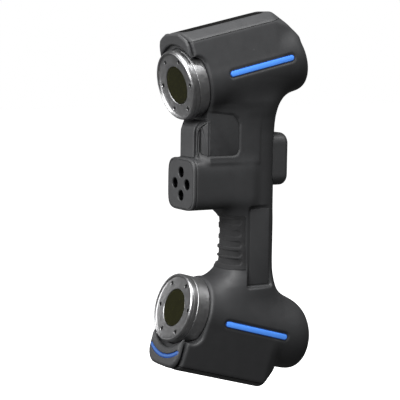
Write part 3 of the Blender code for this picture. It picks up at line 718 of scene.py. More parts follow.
FINISHES = {
    "shell": moulded_plastic("shell_plastic", (0.034, 0.0345, 0.036), 0.52),
    "cover": moulded_plastic("cover_plastic", (0.040, 0.0405, 0.042), 0.50, 0.45, 0.03),
    "panel": moulded_plastic("panel_plastic", (0.037, 0.0375, 0.039), 0.50, 0.4, 0.02),
    "rubber": soft_rubber("grip_rubber", (0.016, 0.016, 0.017)),
    "strip": soft_rubber("strip_rubber", (0.005, 0.005, 0.005), 0.8, 0.03),
    "seal": soft_rubber("seal_rubber", (0.008, 0.008, 0.008), 0.7),
    "button": soft_rubber("button_rubber", (0.022, 0.022, 0.023), 0.7),
    "bezel": blasted_metal("bezel_metal", (0.40, 0.40, 0.405), 0.36, 0.35, 0.016),
    "collar": blasted_metal("collar_metal", (0.38, 0.38, 0.385), 0.42, 0.6, 0.10),
    "light": lit_bar("light_blue", (0.075, 0.26, 0.82), 0.30),
    "light_dim": lit_bar("light_blue_dim", (0.045, 0.11, 0.30), 0.04),
    "light_edge": lit_bar("light_blue_edge", (0.012, 0.06, 0.28), 0.05),
    "glass": coated_glass("window_glass", (0.040, 0.040, 0.012)),
    "lamp": coated_glass("lamp_glass", (0.004, 0.004, 0.004)),
    "dark_glass": coated_glass("projector_glass", (0.0015, 0.0015, 0.002)),
    "element": coated_glass("lens_glass", (0.05, 0.022, 0.012)),
    "lens": plain_metal("lens_black", (0.012, 0.012, 0.013), 0.45),
    "metal": plain_metal("frame_metal", (0.48, 0.49, 0.51), 0.36),
    "brass": plain_metal("module_brass", (0.55, 0.38, 0.16), 0.30),
    "board": circuit_board("circuit_board"),
    "socket": plain_metal("socket_metal", (0.42, 0.42, 0.44), 0.30),
    "screw": plain_metal("screw_steel", (0.16, 0.16, 0.17), 0.34),
}
MATERIALS = {name: finish.material for name, finish in FINISHES.items()}


# ---------------------------------------------------------------- camera, light and floor

CAMERA_AZIMUTH = 59.953
CAMERA_ELEVATION = 6.352
CAMERA_DISTANCE = 1.2
CAMERA_ROLL = 0.697
LENS_MM = 134.75
SENSOR_MM = 36.0
CAMERA_SHIFT = (0.0672, -0.0064)
AMBIENT = 0.09
FLOOR_HALF = 6.0
FLOOR_DROP = 0.12            # from the scanner's lowest point
LIGHT_TARGET = Vector((0, 0.055, 0))
LIGHTS = (                   # name, place, size, power in watts
    ("top", (-0.1, 1.15, 0.4), (0.7, 0.7), 21.0),
    ("right", (0.58, 0.80, 0.18), (0.15, 0.2), 3.0),
    ("front", (-1.0, 0.2, 0.25), (0.6, 0.9), 8.0),
    ("side", (-0.42, 0.5, 0.98), (0.5, 0.5), 14.0),
)


def camera_axes():
    """Right, up and back of the camera, before its roll."""
    azimuth, elevation = math.radians(CAMERA_AZIMUTH), math.radians(CAMERA_ELEVATION)
    back = Vector((math.sin(azimuth) * math.cos(elevation),
                   -math.cos(azimuth) * math.cos(elevation), math.sin(elevation)))
    right = Vector((math.cos(azimuth), math.sin(azimuth), 0))
    return right, back.cross(right), back


def add_camera():
    right, up, back = camera_axes()
    roll = math.radians(CAMERA_ROLL)
    rolled_right = right * math.cos(roll) + up * math.sin(roll)
    rolled_up = up * math.cos(roll) - right * math.sin(roll)
    camera = linked("camera", bpy.data.cameras.new("camera"))
    turn = Matrix((rolled_right, rolled_up, back)).transposed().to_4x4()
    camera.matrix_world = Matrix.Translation(ORIGIN + back * CAMERA_DISTANCE) @ turn
    camera.data.sensor_width = SENSOR_MM
    camera.data.lens = LENS_MM
    camera.data.shift_x, camera.data.shift_y = CAMERA_SHIFT
    camera.data.clip_end = 20
    bpy.context.scene.camera = camera


def add_light(name, place, size, power):
    """A soft rectangular light. place is right, up and back from its target, in the camera's view."""
    right, up, back = camera_axes()
    target = ORIGIN + LIGHT_TARGET
    spot = target + right * place[0] + up * place[1] + back * place[2]
    data = bpy.data.lights.new(name, "AREA")
    data.shape = "RECTANGLE"
    data.size, data.size_y = size
    data.energy = power
    light = linked(name, data)
    light.location = spot
    light.rotation_euler = (target - spot).to_track_quat("-Z", "Y").to_euler()


def add_studio():
    scene = bpy.context.scene
    scene.view_settings.view_transform = "Standard"
    world = bpy.data.worlds.new("studio")
    scene.world = world
    world.use_nodes = True
    tree = world.node_tree
    backdrop = tree.nodes["Background"]
    backdrop.inputs["Color"].default_value = (1, 1, 1, 1)
    soft = tree.nodes.new("ShaderNodeBackground")
    soft.inputs["Color"].default_value = (1, 1, 1, 1)
    soft.inputs["Strength"].default_value = AMBIENT
    seen = tree.nodes.new("ShaderNodeLightPath").outputs["Is Camera Ray"]
    mix = tree.nodes.new("ShaderNodeMixShader")
    tree.links.new(seen, mix.inputs[0])
    tree.links.new(soft.outputs[0], mix.inputs[1])
    tree.links.new(backdrop.outputs[0], mix.inputs[2])
    tree.links.new(mix.outputs[0], tree.nodes["World Output"].inputs["Surface"])
    for name, place, size, power in LIGHTS:
        add_light(name, place, size, power)


def add_floor():
    """A wide pale floor some way below the scanner, which is held in the air."""
    height = cad_box[0][2] - FLOOR_DROP
    bm = bmesh.new()
    bm.faces.new([bm.verts.new((x * FLOOR_HALF, y * FLOOR_HALF, height))
                  for x, y in ((-1, -1), (1, -1), (1, 1), (-1, 1))])
    floor = linked("floor", mesh_from(bm))
    finish = Finish("pale_floor", (0.9, 0.9, 0.9), 0.9, Specular_IOR_Level=0.0,
                    Emission_Color=(1, 1, 1, 1), Emission_Strength=0.95)
    finish.vary_colour(400.0, 0.004)
    floor.data.materials.append(finish.material)
    floor.visible_glossy = False
    floor.visible_diffuse = False


# ---------------------------------------------------------------- building it

NODE_FINISHES = (            # part of a node's name, and its finish; the first that fits counts
    ("projector_glass", "dark_glass"), ("bezel", "bezel"), ("collar", "collar"), ("seal", "seal"),
    ("window", "glass"), ("glass", "glass"), ("lens", "lens"), ("board", "board"),
    ("light", "light"), ("module", "brass"), ("mount", "metal"), ("laser_block", "metal"),
    ("backbone", "metal"), ("socket", "socket"), ("screw", "screw"), ("button", "button"),
    ("pad", "rubber"), ("strip", "rubber"), ("panel", "panel"), ("housing", "shell"),
    ("", "cover"),
)
LEFT_AND_RIGHT = ((1, "left"), (-1, "right"))


def dress_nodes():
    """Every CAD node gets a finish, whether or not a piece stands for it later."""
    for name, node in NODES.items():
        finish = next(finish for part, finish in NODE_FINISHES if part in name)
        node.data.materials.clear()
        node.data.materials.append(MATERIALS[finish])


def softened(bm, width, segments=2, sharper_than=28):
    """Bevels the edges that turn by more than an angle."""
    edges = [e for e in bm.edges
             if len(e.link_faces) == 2 and e.calc_face_angle(0) > math.radians(sharper_than)]
    bmesh.ops.bevel(bm, geom=edges, offset=width, segments=segments, profile=0.5,
                    affect="EDGES", clamp_overlap=True)
    return bm


def mirrored(bm):
    return outward(placed(bm, Matrix.Diagonal((-1, 1, 1, 1))))


def on_side(bm, side):
    """A solid of the left side, or its mirror image for the right."""
    return bm if side > 0 else mirrored(bm)


def side_prism(outline, low, high, side):
    """An outline of (y, z) points drawn out across one side of the scanner."""
    return on_side(prism(outline, low, high, "x"), side)


def grown(outline, margin):
    """An outline moved outward by a margin, corner by corner."""
    points = np.array(outline)
    following = np.roll(points, -1, axis=0)
    area = np.sum(points[:, 0] * following[:, 1] - points[:, 1] * following[:, 0])
    before = points - np.roll(points, 1, axis=0)
    after = following - points
    normals = []
    for edge in (before, after):
        unit = edge / np.linalg.norm(edge, axis=1)[:, None]
        normals.append(np.stack((unit[:, 1], -unit[:, 0]), axis=1) * np.sign(area))
    mean = normals[0] + normals[1]
    mean /= np.sum(mean * normals[0], axis=1)[:, None]
    return [tuple(point) for point in (points + mean * margin).tolist()]


def rounded_corners(outline, radius, steps=6):
    """An outline with each corner replaced by a curve that starts a radius away from it."""
    points = []
    count = len(outline)
    for i in range(count):
        corner = Vector(outline[i])
        near = corner + (Vector(outline[i - 1]) - corner).normalized() * radius
        far = corner + (Vector(outline[(i + 1) % count]) - corner).normalized() * radius
        for t in np.linspace(0, 1, steps + 1):
            points.append(tuple(near * (1 - t) ** 2 + corner * 2 * t * (1 - t) + far * t * t))
    return points


def head_box(head, o0, o1):
    """Everything of a head between two heights, as a solid in the layout frame."""
    return placed(box_solid((-60, o0, -200), (60, o1, 30)), head.matrix())


# The slanted face of the neck: a runs along it from its front end, n outward

SLANT = Vector((NECK_REAR[0] - NECK_FRONT[0], NECK_REAR[1] - NECK_FRONT[1])).normalized()
VENT_OUTLINE = ((4.3, 35.4), (11.6, 34.2), (11.6, 60.4), (8.6, 59.6), (5.6, 57.6), (4.3, 55.2))
SLIT_OUTLINE = ((2.7, 37.2), (3.75, 36.0), (3.75, 55.0), (3.2, 55.6), (2.75, 54.4))
BEAD_PATH = ((11.6, 61.2), (7.0, 59.6), (4.0, 57.5), (2.0, 54.6), (1.1, 51.0), (0.9, 46.0),
             (0.8, 41.0), (0.9, 38.0), (1.6, 34.6), (3.0, 31.4))


def slant_matrix():
    """Takes (a, z, n) of the left slanted face to the layout frame."""
    out = Vector((SLANT.y, -SLANT.x))
    return Matrix(((SLANT.x, 0, out.x, NECK_FRONT[0]), (SLANT.y, 0, out.y, NECK_FRONT[1]),
                   (0, 1, 0, 0), (0, 0, 0, 1)))


def slant_prism(outline, low, high, side):
    bm = placed(prism(outline, low, high), slant_matrix())
    return on_side(outward(bm), side)


def smooth_path(points, steps=8):
    """A Catmull-Rom curve through the points."""
    p = [Vector(point) for point in points]
    p = [2 * p[0] - p[1]] + p + [2 * p[-1] - p[-2]]
    path = []
    for i in range(1, len(p) - 2):
        for t in np.linspace(0, 1, steps, endpoint=False):
            path.append(0.5 * (2 * p[i] + (p[i + 1] - p[i - 1]) * t
                               + (2 * p[i - 1] - 5 * p[i] + 4 * p[i + 1] - p[i + 2]) * t * t
                               + (3 * p[i] - p[i - 1] - 3 * p[i + 1] + p[i + 2]) * t ** 3))
    return path + [p[-2]]


def swept(path, normal, radius, steps=14):
    """A round bead along a flat path; normal is the direction that the path is flat across."""
    sections = []
    for i, point in enumerate(path):
        ahead = (path[min(i + 1, len(path) - 1)] - path[max(i - 1, 0)]).normalized()
        across = ahead.cross(normal).normalized()
        ends = 0.35 if i in (0, len(path) - 1) else 1.0
        sections.append([point + (across * math.cos(a) + normal * math.sin(a)) * radius * ends
                         for a in np.linspace(0, 2 * math.pi, steps, endpoint=False)])
    return loft(sections)


def bead(radius, height, side):
    path = [Vector((a, z, height)) for a, z in smooth_path(BEAD_PATH)]
    bm = placed(swept(path, Vector((0, 0, 1)), radius), slant_matrix())
    return on_side(outward(bm), side)


# Screws: head or grip, place (s and o, or y and z) and half length of the boss, as in the CAD

SCREWS = (
    ("upper", 50.0, 21.0, 25.4), ("upper", 92.0, 14.0, 25.6), ("grip", 80.0, 44.0, 18.6),
    ("grip", 80.0, -45.0, 17.6), ("lower", 92.0, 14.0, 27.0), ("lower", 50.0, 30.0, 25.0),
)


def screw_matrix(place, a, b):
    """Takes a turned solid's axis to a screw's, with its head facing the right side (-X)."""
    if place == "grip":
        spot = Vector((0, a, b))
    else:
        spot = HEADS[place].matrix() @ Vector((0, b, -a))
    return Matrix.Translation(spot) @ Matrix.Rotation(math.radians(-90), 4, "Y")


SHELL_VOXEL = 0.7 if FINE else 1.0
SHELL_MARGIN = 4             # room round the shell in its grid
SCREW_ROOM_R = 3.3           # access hole over a screw's head
SCREW_SEAT_R = 2.9
SCREW_SEAT_DEPTH = 3.4
SOCKET_O = 9.0               # height of the cable socket's axis in the lower head
SOCKET_ROOM_R = 7.3


def head_cuts(head):
    """Cutters for a head's ring, cover and light bars."""
    seam = head.shape["rim"] - SEAM
    behind = head.shape["rim"] + 9
    room = ((0, -20), (RING_ROOM_R, -20), (RING_ROOM_R, seam), (OPTICS_ROOM_R, seam),
            (OPTICS_ROOM_R, behind), (0, behind))
    cuts = [placed(turned(room), head.matrix()), head_box(head, head.shape["outer"], 90)]
    for side in (-1, 1):
        seat = prism(bar_outline(0.62), BAR_SEAT_X, 40, "x")
        cuts.append(placed(on_side(seat, side), head.matrix()))
    return cuts


def side_cuts(side):
    """Cutters for what is let into one side of the neck and the grip."""
    vent = rounded_corners(grown(VENT_OUTLINE, 0.3), 1.5)
    return [side_prism(grown(PANEL_OUTLINE, 0.15), PANEL_X[0] - 0.2, 40, side),
            side_prism(rounded_corners(grown(PAD_OUTLINE, 0.25), PAD_CORNER), PAD_X[0] - 0.2, 40, side),
            slant_prism(vent, -1.9, 2, side), slant_prism(SLIT_OUTLINE, -3.5, 1, side),
            bead(0.95, 0.1, side)]


def make_shell():
    low = (cad_box[0] - ORIGIN) / MM
    high = (cad_box[1] - ORIGIN) / MM
    region = Region([v - SHELL_MARGIN for v in low], [v + SHELL_MARGIN for v in high], SHELL_VOXEL, 10)
    field = shell_field(region)
    whole = region.mesh(field)
    cuts = [solid_from(region.mesh(field, -WALL))]
    for head in HEADS.values():
        cuts += head_cuts(head)
    tube = superellipse((0, TUBE_Z), TUBE_HALF - TUBE_WALL, TUBE_HALF - TUBE_WALL, TUBE_FULLNESS, 64)
    cuts.append(prism(tube, 0, 40, "y"))
    cuts.append(prism(pod_outline(0.25, 9.2), 84, 120, "y"))
    for side, _ in LEFT_AND_RIGHT:
        cuts += side_cuts(side)
    for place, a, b, half in SCREWS:
        step, floor = 0.9 - half, SCREW_SEAT_DEPTH - half
        hole = turned(((0, -60), (SCREW_ROOM_R, -60), (SCREW_ROOM_R, step - 0.4),
                       (SCREW_SEAT_R, step), (SCREW_SEAT_R, floor), (0, floor)), 48)
        cuts.append(placed(hole, screw_matrix(place, a, b)))
    socket = turned(((0, 100), (SOCKET_ROOM_R, 100), (SOCKET_ROOM_R, 160), (0, 160)), 64)
    cuts.append(placed(shifted(socket, 0, SOCKET_O, 0), HEADS["lower"].matrix()))
    cuts.append(finger_seat())
    shell = carved(whole.copy(), "DIFFERENCE", cuts)
    add_piece("shell", shell, "shell", ("housing_left", "housing_right"))
    make_roof(whole.copy())
    make_keel(whole.copy())
    bpy.data.meshes.remove(whole)


STRIP_HALF = 9.0
STRIP_S = (13.8, 91.2)
STRIP_SEAT_O = 36.4
STRIP_LEVELS = ((36.6, 0), (39.9, 0), (40.3, 0.2), (40.5, 0.7))     # height o, edge stepped in
RIBS = 37
RIB_PITCH = 2.0
RIB_HALF = 7.6
RIB_FLOOR_O = 39.9


def strip_outline(inset):
    """Plan (x, -s) of the roof's soft strip, with its edge stepped in."""
    return rounded_rectangle((inset - STRIP_HALF, inset - STRIP_S[1]),
                             (STRIP_HALF - inset, -STRIP_S[0] - inset), 6.7 - inset)


def make_roof(whole):
    head = HEADS["upper"]
    cover = carved(whole, "INTERSECT", [head_box(head, head.shape["outer"] + SEAM, 90)])
    seat = prism(strip_outline(-0.3), STRIP_SEAT_O, 60, "y")
    cover = carved(cover, "DIFFERENCE", [placed(seat, head.matrix())])
    add_piece("roof_panel", cover, "cover", ("roof_cover",))
    strip = loft([[(x, o, z) for x, z in strip_outline(inset)] for o, inset in STRIP_LEVELS])
    grooves = []
    for k in range(RIBS):
        z = RIB_PITCH * k - 88.9
        groove = rounded_rectangle((-RIB_HALF, z), (RIB_HALF, z + 0.8), 0.35, 3)
        grooves.append(prism(groove, RIB_FLOOR_O, 42, "y"))
    strip = carved(mesh_from(strip), "DIFFERENCE", grooves)
    add_piece("roof_grip_strip", strip, "strip", ("roof_strip",),
              matrix=head.matrix())


def make_keel(whole):
    head = HEADS["lower"]
    cover = carved(whole, "INTERSECT", [head_box(head, head.shape["outer"] + SEAM, 90)])
    add_piece("keel_panel", cover, "cover", ("keel_cover",))


# ---------------------------------------------------------------- optics of a head

def bar_outline(margin):
    """Side view (o, -s) of a light bar, with half-round ends."""
    radius = BAR_HEIGHT / 2
    near = arc((BAR_O, -BAR_S[0] - radius), radius + margin, 0, 180, 14)
    return near + arc((BAR_O, -BAR_S[1] + radius), radius + margin, 180, 360, 14)


def make_light_bars(head):
    for side, label in LEFT_AND_RIGHT:
        levels = ((BAR_X[0], 0), (BAR_X[1] - 0.45, 0), (BAR_X[1] - 0.15, -0.12), (BAR_X[1], -0.5))
        bm = loft([[(x, o, z) for o, z in bar_outline(margin)] for x, margin in levels])
        add_piece(f"{head.name}_{label}_bar", mesh_from(on_side(bm, side * head.up)),
                  "light", (f"{head.name}_{label}_light_bar",),
                  matrix=head.matrix())
        rim = prism(bar_outline(0.5), BAR_X[0], BAR_X[1] - 0.35, "x")
        hole = prism(bar_outline(0.04), BAR_X[0] - 1, BAR_X[1] + 1, "x")
        rim = carved(mesh_from(softened(rim, 0.12)), "DIFFERENCE", [hole])
        if side * head.up < 0:
            rim = mesh_from(mirrored(solid_from(rim)))
        add_piece(f"{head.name}_{label}_bar_rim", rim, "light_edge",
                  matrix=head.matrix())


RING_HOLES = 6
RING_HOLE_PITCH_R = 21.6
RING_R = 28.0
BEZEL = (                    # profiles of the optics: radius and s
    (15.4, 6.5), (15.4, 2.35), (15.75, 2.05), (24.3, 1.75), (25.1, 1.62), (25.65, 1.2),
    (25.9, 0.55), (26.1, 0.14), (26.4, 0.0), (26.8, 0.0), (27.2, 0.25), (27.75, 1.1),
    (RING_R, 1.9), (RING_R, 2.6), (27.75, 2.75), (27.75, 3.0), (RING_R, 3.15), (RING_R, 6.25),
    (27.8, 6.5), (25.4, 6.5), (25.4, 4.2), (17.4, 4.2), (17.4, 6.5),
)
RING_HOLE = ((0, -2), (1.95, -2), (1.95, 1.7), (1.75, 2.0), (1.75, 5.2), (0, 5.2))
LAMP = ((0, 4.1), (0.5, 4.16), (1.05, 4.45), (1.4, 4.9), (1.4, 6.9), (0, 6.9))
GLASS = ((0, 2.2), (14.9, 2.2), (15.1, 2.4), (15.1, 3.8), (14.9, 4.0), (0, 4.0))
SEAL = ((13.6, 4.3), (15.0, 4.3), (15.0, 6.0), (13.6, 6.0), (13.3, 5.7), (13.3, 4.6))
LENS = ((0, 12.2), (8.7, 12.2), (8.7, 9.6), (9.5, 8.8), (10.3, 8.8), (10.3, 7.9), (11.2, 7.2),
        (12.6, 7.2), (13.0, 7.6), (13.0, 13.0), (12.0, 14.0), (12.0, 41.6), (0, 41.6))
ELEMENT_R = 8.5
ELEMENT_CURVE_R = 15.0


def front_element():
    """Profile of the lens's domed front glass."""
    dome = [(r, 8.4 + ELEMENT_CURVE_R - math.sqrt(ELEMENT_CURVE_R ** 2 - r ** 2))
            for r in np.linspace(0, ELEMENT_R, 9)]
    return dome + [(ELEMENT_R, 11.8), (0, 11.8)]


def make_ring(head):
    name, place, rim = head.name, head.matrix(), head.shape["rim"]
    holes = []
    lamps = []
    for k in range(RING_HOLES):
        angle = math.radians(360 / RING_HOLES * k + 2)
        spot = (RING_HOLE_PITCH_R * math.cos(angle), RING_HOLE_PITCH_R * math.sin(angle), 0)
        holes.append(shifted(turned(RING_HOLE, 28), *spot))
        lamps.append(shifted(turned(LAMP, 24), *spot))
    ring = carved(mesh_from(turned(BEZEL, 160)), "DIFFERENCE", holes)
    add_piece(f"{name}_ring", ring, "bezel", (f"{name}_bezel_ring",), sharp=30,
              matrix=place)
    add_piece(f"{name}_ring_lamps", joined_mesh(lamps), "lamp", matrix=place)
    collar = ((27.75, 6.8), (RING_R, 7.05), (RING_R, rim - 1.05), (27.75, rim - 0.8),
              (26.4, rim - 0.8), (26.4, rim + 8), (24.4, rim + 8), (24.4, 6.8))
    for piece, profile, steps, finish, slot, node in (
            ("collar_band", collar, 160, "collar", "collar_metal", "collar"),
            ("glass", GLASS, 96, "glass", "window_glass", "window"),
            ("seal", SEAL, 96, "seal", "seal_rubber", "window_seal"),
            ("lens", LENS, 96, "lens", "lens_black", "lens_barrel"),
            ("front_element", front_element(), 96, "element", "window_glass", None)):
        add_piece(f"{name}_{piece}", mesh_from(turned(profile, steps)), finish,
                  (f"{name}_{node}",) if node else (), matrix=place)


# ---------------------------------------------------------------- hood and chin

ARCH_R = 32.0
BLOCK_TAIL_INSET = 2.6       # how much smaller a block's rear part is than its front
HOOD_S = (5.3, 7.6)
CHIN_S = (1.8, 5.0)
HOOD_SOFT_EDGE = 1.6
CHIN_SOFT_EDGE = 3.2
HOOD_CORNER = ((23.5, 27.5), (22.6, 31.5), (20.6, 35.4), (17.0, 37.7), (10.5, 40.6), (8.0, 40.9))
CHIN_CORNER = ((24.0, 35.0), (23.56, 38.36), (22.26, 41.5), (20.19, 44.19), (17.5, 46.26),
               (14.36, 47.56), (8.0, 48.0))


def block_outline(corner):
    """Front view of a hood or chin: the outer corner's points, and an arch clear of the ring."""
    half_angle = math.degrees(math.acos(SIDE_X / ARCH_R))
    right = [(SIDE_X, ARCH_R * math.sin(math.radians(half_angle)))] + list(corner)
    left = [(-x, o) for x, o in reversed(right)]
    return right + left + arc((0, 0), ARCH_R, 180 - half_angle, half_angle, 40)[1:-1]


def light_arc(inner, outer, half_angle, ends=8):
    """Front view of the chin's light: a bent bar with half-round ends."""
    middle, radius = (inner + outer) / 2, (outer - inner) / 2
    near, far = math.radians(90 - half_angle), math.radians(90 + half_angle)
    right = (middle * math.cos(near), middle * math.sin(near))
    left = (middle * math.cos(far), middle * math.sin(far))
    outline = arc((0, 0), outer, 90 - half_angle, 90 + half_angle, 24)
    outline += arc(left, radius, 90 + half_angle, 270 + half_angle, ends)[1:-1]
    outline += arc((0, 0), inner, 90 + half_angle, 90 - half_angle, 24)
    return outline + arc(right, radius, -90 - half_angle, 90 - half_angle, ends)[1:-1]


def block_field(region, head, span, corner, soft):
    """The front part of a hood or chin, and the whole with the tail that reaches the shell."""
    near, far = span
    face = outline_distance(region.x, region.y, block_outline(corner))
    s = -region.z
    front = shared(shared(face, near - s, soft), s - far, 0.4)
    tail = slab(s, near + 1, head.shape["front"] - SEAM)
    return front, np.minimum(front, shared(face + BLOCK_TAIL_INSET, tail, 0.4))


def make_hood():
    head = HEADS["upper"]
    region = Region((0, 18, -10), (26, 43, -3), 0.35, 4)
    _, field = block_field(region, head, HOOD_S, HOOD_CORNER, HOOD_SOFT_EDGE)
    add_piece("hood_block", region.mesh(field), "cover",
              ("hood",), matrix=head.matrix())


def chin_band(region, front, radii, sunk):
    """A bent bar between two radii, sunk below the chin's front face."""
    band = outline_distance(region.x, region.y, light_arc(*radii, 31.6))
    return region.mesh(shared(shared(band, front + sunk, 0.25), -(front + 1.5), 0.1))


def make_chin():
    head = HEADS["lower"]
    region = Region((0, 18, -9), (26, 50.4, 0), 0.4, 4)
    front, field = block_field(region, head, CHIN_S, CHIN_CORNER, CHIN_SOFT_EDGE)
    groove = outline_distance(region.x, region.y, light_arc(37.7, 41.3, 31.8))
    field = shared(field, -shared(groove, -(front + 1.6), 0.2), 0.3)
    add_piece("chin_block", region.mesh(field), "cover",
              ("chin",), matrix=head.matrix())
    fine = Region((0, 30, -6), (26, 43, 0), 0.25, 3)
    front, _ = block_field(fine, head, CHIN_S, CHIN_CORNER, CHIN_SOFT_EDGE)
    light = chin_band(fine, front, (38.5, 40.5), 0.3)
    add_piece("chin_light_arc", light, "light_dim", ("chin_light",),
              matrix=head.matrix())
    channel = prism(light_arc(38.4, 40.6, 31.7), -20, 5)
    rim = carved(chin_band(fine, front, (37.8, 41.2), 0.6), "DIFFERENCE", [channel])
    add_piece("chin_light_rim", rim, "light_edge", matrix=head.matrix())


# ---------------------------------------------------------------- projector and neck

TUBE_FACE_Y = 6.8
APERTURE_R = 4.35
APERTURE_PITCH = 9.4


def turned_to_front(profile, x, z, steps=64):
    """A (radius, y) profile turned about a line along Y through (x, z)."""
    bm = turned([(radius, -y) for radius, y in profile], steps)
    matrix = Matrix.Translation((x, 0, z)) @ Matrix.Rotation(math.radians(-90), 4, "X")
    return placed(bm, matrix)


FACE_GROOVE_HALF = 19.7      # the fine line round the projector's face
FACE_GROOVE_WIDTH = 0.5
FACE_GROOVE_FLOOR_Y = 7.5
FACE_GROOVE_FULLNESS = 4.4
MODULE = (                   # radius and y
    (0, 13.4), (1.6, 13.4), (1.6, 12.6), (2.6, 12.0), (3.6, 12.0), (4.0, 12.4), (4.0, 17),
    (3.8, 17.2), (3.8, 17.8), (4.0, 18), (4.0, 35.6), (3.6, 36), (0, 36),
)
SPOTS = {
    "top": (0, TUBE_Z + APERTURE_PITCH), "bottom": (0, TUBE_Z - APERTURE_PITCH),
    "left": (APERTURE_PITCH, TUBE_Z), "right": (-APERTURE_PITCH, TUBE_Z),
}


def face_outline(half):
    return superellipse((0, TUBE_Z), half, half, FACE_GROOVE_FULLNESS, 128)


def make_projector():
    outline = superellipse((0, TUBE_Z), TUBE_HALF, TUBE_HALF, TUBE_FULLNESS, 128)
    region = Region((0, 5, -13), (23, 11, 34), 0.35, 4)
    face = outline_distance(region.x, region.z, outline)
    field = shared(shared(face, TUBE_FACE_Y - region.y, 1.3), region.y - 9.3, 0.3)
    plate = region.mesh(field)
    groove = prism(face_outline(FACE_GROOVE_HALF), 0, FACE_GROOVE_FLOOR_Y, "y")
    core = prism(face_outline(FACE_GROOVE_HALF - FACE_GROOVE_WIDTH), -1, 9, "y")
    cuts = [solid_from(carved(mesh_from(groove), "DIFFERENCE", [core]))]
    r, y = APERTURE_R, TUBE_FACE_Y
    aperture = ((0, 0), (r + 0.45, 0), (r + 0.45, y), (r, y + 0.45), (r, 12), (0, 12))
    liner = ((r - 0.5, y + 0.9), (r - 0.05, y + 0.7), (r - 0.05, y + 2.4), (r - 0.5, y + 2.4))
    for label, spot in SPOTS.items():
        cuts.append(turned_to_front(aperture, *spot))
        add_piece(f"{label}_laser_module", mesh_from(turned_to_front(MODULE, *spot)), "brass",
                  (f"laser_module_{label}",))
        add_piece(f"{label}_aperture_liner", mesh_from(turned_to_front(liner, *spot)), "lens")
    plate = carved(plate, "DIFFERENCE", cuts)
    add_piece("projector_face", plate, "cover", ("projector_face_plate",))


COVER_THICKNESS = 1.8
COVER_HALF = 10.6
COVER_Z = (32.2, 60.6)


def make_neck():
    region = Region((0, 8, 30), (13, 24, 64), 0.3, 6)
    brow = outline_distance(region.y + COVER_THICKNESS, region.z, list(NECK_BROW))
    field = shared(brow, region.x - COVER_HALF, 0.9)
    field = np.maximum(field, -outline_distance(region.y + 0.3, region.z, list(NECK_BROW)))
    field = shared(shared(field, region.z - COVER_Z[1], 0.4), COVER_Z[0] - region.z, 0.4)
    add_piece("centre_block", region.mesh(field), "cover",
              ("centre_cover",))
    for side, label in LEFT_AND_RIGHT:
        outline = rounded_corners(VENT_OUTLINE, 1.5)
        bm = softened(slant_prism(outline, -1.6, -0.15, side), 0.3, 3, 50)
        add_piece(f"{label}_vent_plate", mesh_from(bm), "cover",
                  (f"{label}_vent_panel",))
        add_piece(f"{label}_bead", mesh_from(bead(0.55, 0.0, side)), "cover")
        bm = side_prism(rounded_corners(PANEL_OUTLINE, 0.6, 3), *PANEL_X, side)
        bm = softened(bm, 0.15, 2, 50)
        add_piece(f"{label}_side_plate", mesh_from(bm), "panel",
                  (f"{label}_side_panel",))


# ---------------------------------------------------------------- grip pads

GROOVES = 5
GROOVE_HALF = 2.6            # half height of a finger groove
GROOVE_TOP = -18.6
GROOVE_REAR_Y = 55.4
GROOVE_DEPTH = 0.75


def finger_window(margin):
    """The space of the finger pad, open at the front."""
    z0, z1 = FINGER_Z
    return box_solid((-40, 30, z0 - margin), (40, FINGER_REAR + margin, z1 + margin))


def grip_region():
    return Region((0, 40, -66), (24, 63, -10), 0.35, 5)


def finger_seat():
    """The shallow seat of the finger pad, cut from the front of the grip."""
    region = grip_region()
    inner = solid_from(region.mesh(region.solid(grip_solid()), -FINGER_THICKNESS - 0.2))
    return solid_from(carved(mesh_from(finger_window(0.12)), "DIFFERENCE", [inner]))


def make_finger_pad():
    region = grip_region()
    grip = region.solid(grip_solid())
    outer = shell_field(region)
    z0, z1 = FINGER_Z
    pad = np.maximum(outer, -(grip + FINGER_THICKNESS))
    window = np.maximum(region.y - FINGER_REAR, slab(region.z, z0, z1))
    pad = shared(pad, window, 0.12)
    top = GROOVE_TOP
    for k in range(GROOVES):
        past_end = region.y - GROOVE_REAR_Y + GROOVE_HALF
        height = region.z - top + GROOVE_HALF
        slot = np.hypot(np.maximum(past_end, 0), height) - GROOVE_HALF
        pad = shared(pad, -shared(slot, -(grip + GROOVE_DEPTH), 0.5), 0.5)
        top -= 9.7 - k
    add_piece("grip_front", region.mesh(pad), "rubber",
              ("finger_pad",))


def make_side_pads():
    outline = rounded_corners(PAD_OUTLINE, PAD_CORNER)
    for side, label in LEFT_AND_RIGHT:
        bm = softened(side_prism(outline, *PAD_X, side), 0.3, 3, 50)
        add_piece(f"{label}_palm_pad", mesh_from(bm), "panel",
                  (f"{label}_grip_pad",))


# ---------------------------------------------------------------- control pod

BUTTONS = (                  # node, body, z and radius
    ("plus_button", "plus_key", 38.6, 3.2), ("scan_button", "scan_key", 28.75, 4.8),
    ("minus_button", "minus_key", 18.9, 3.2),
)


POD_CORNER = 9.0
POD_WALL = 2.4
DISH_R = 10.2                # of the hollows round the two small buttons
DISH_BUTTON_R = 4.0          # buttons smaller than this lie in a hollow
MARK_HALF = 1.5              # of the plus and minus signs
MARK_FLOOR = 0.3             # above the pod's rear face


def pod_outline(margin, corner):
    """Rear view (x, z) of the pod, grown by a margin."""
    return rounded_rectangle((-POD_HALF - margin, POD_Z[0] - margin),
                             (POD_HALF + margin, POD_Z[1] + margin), corner)


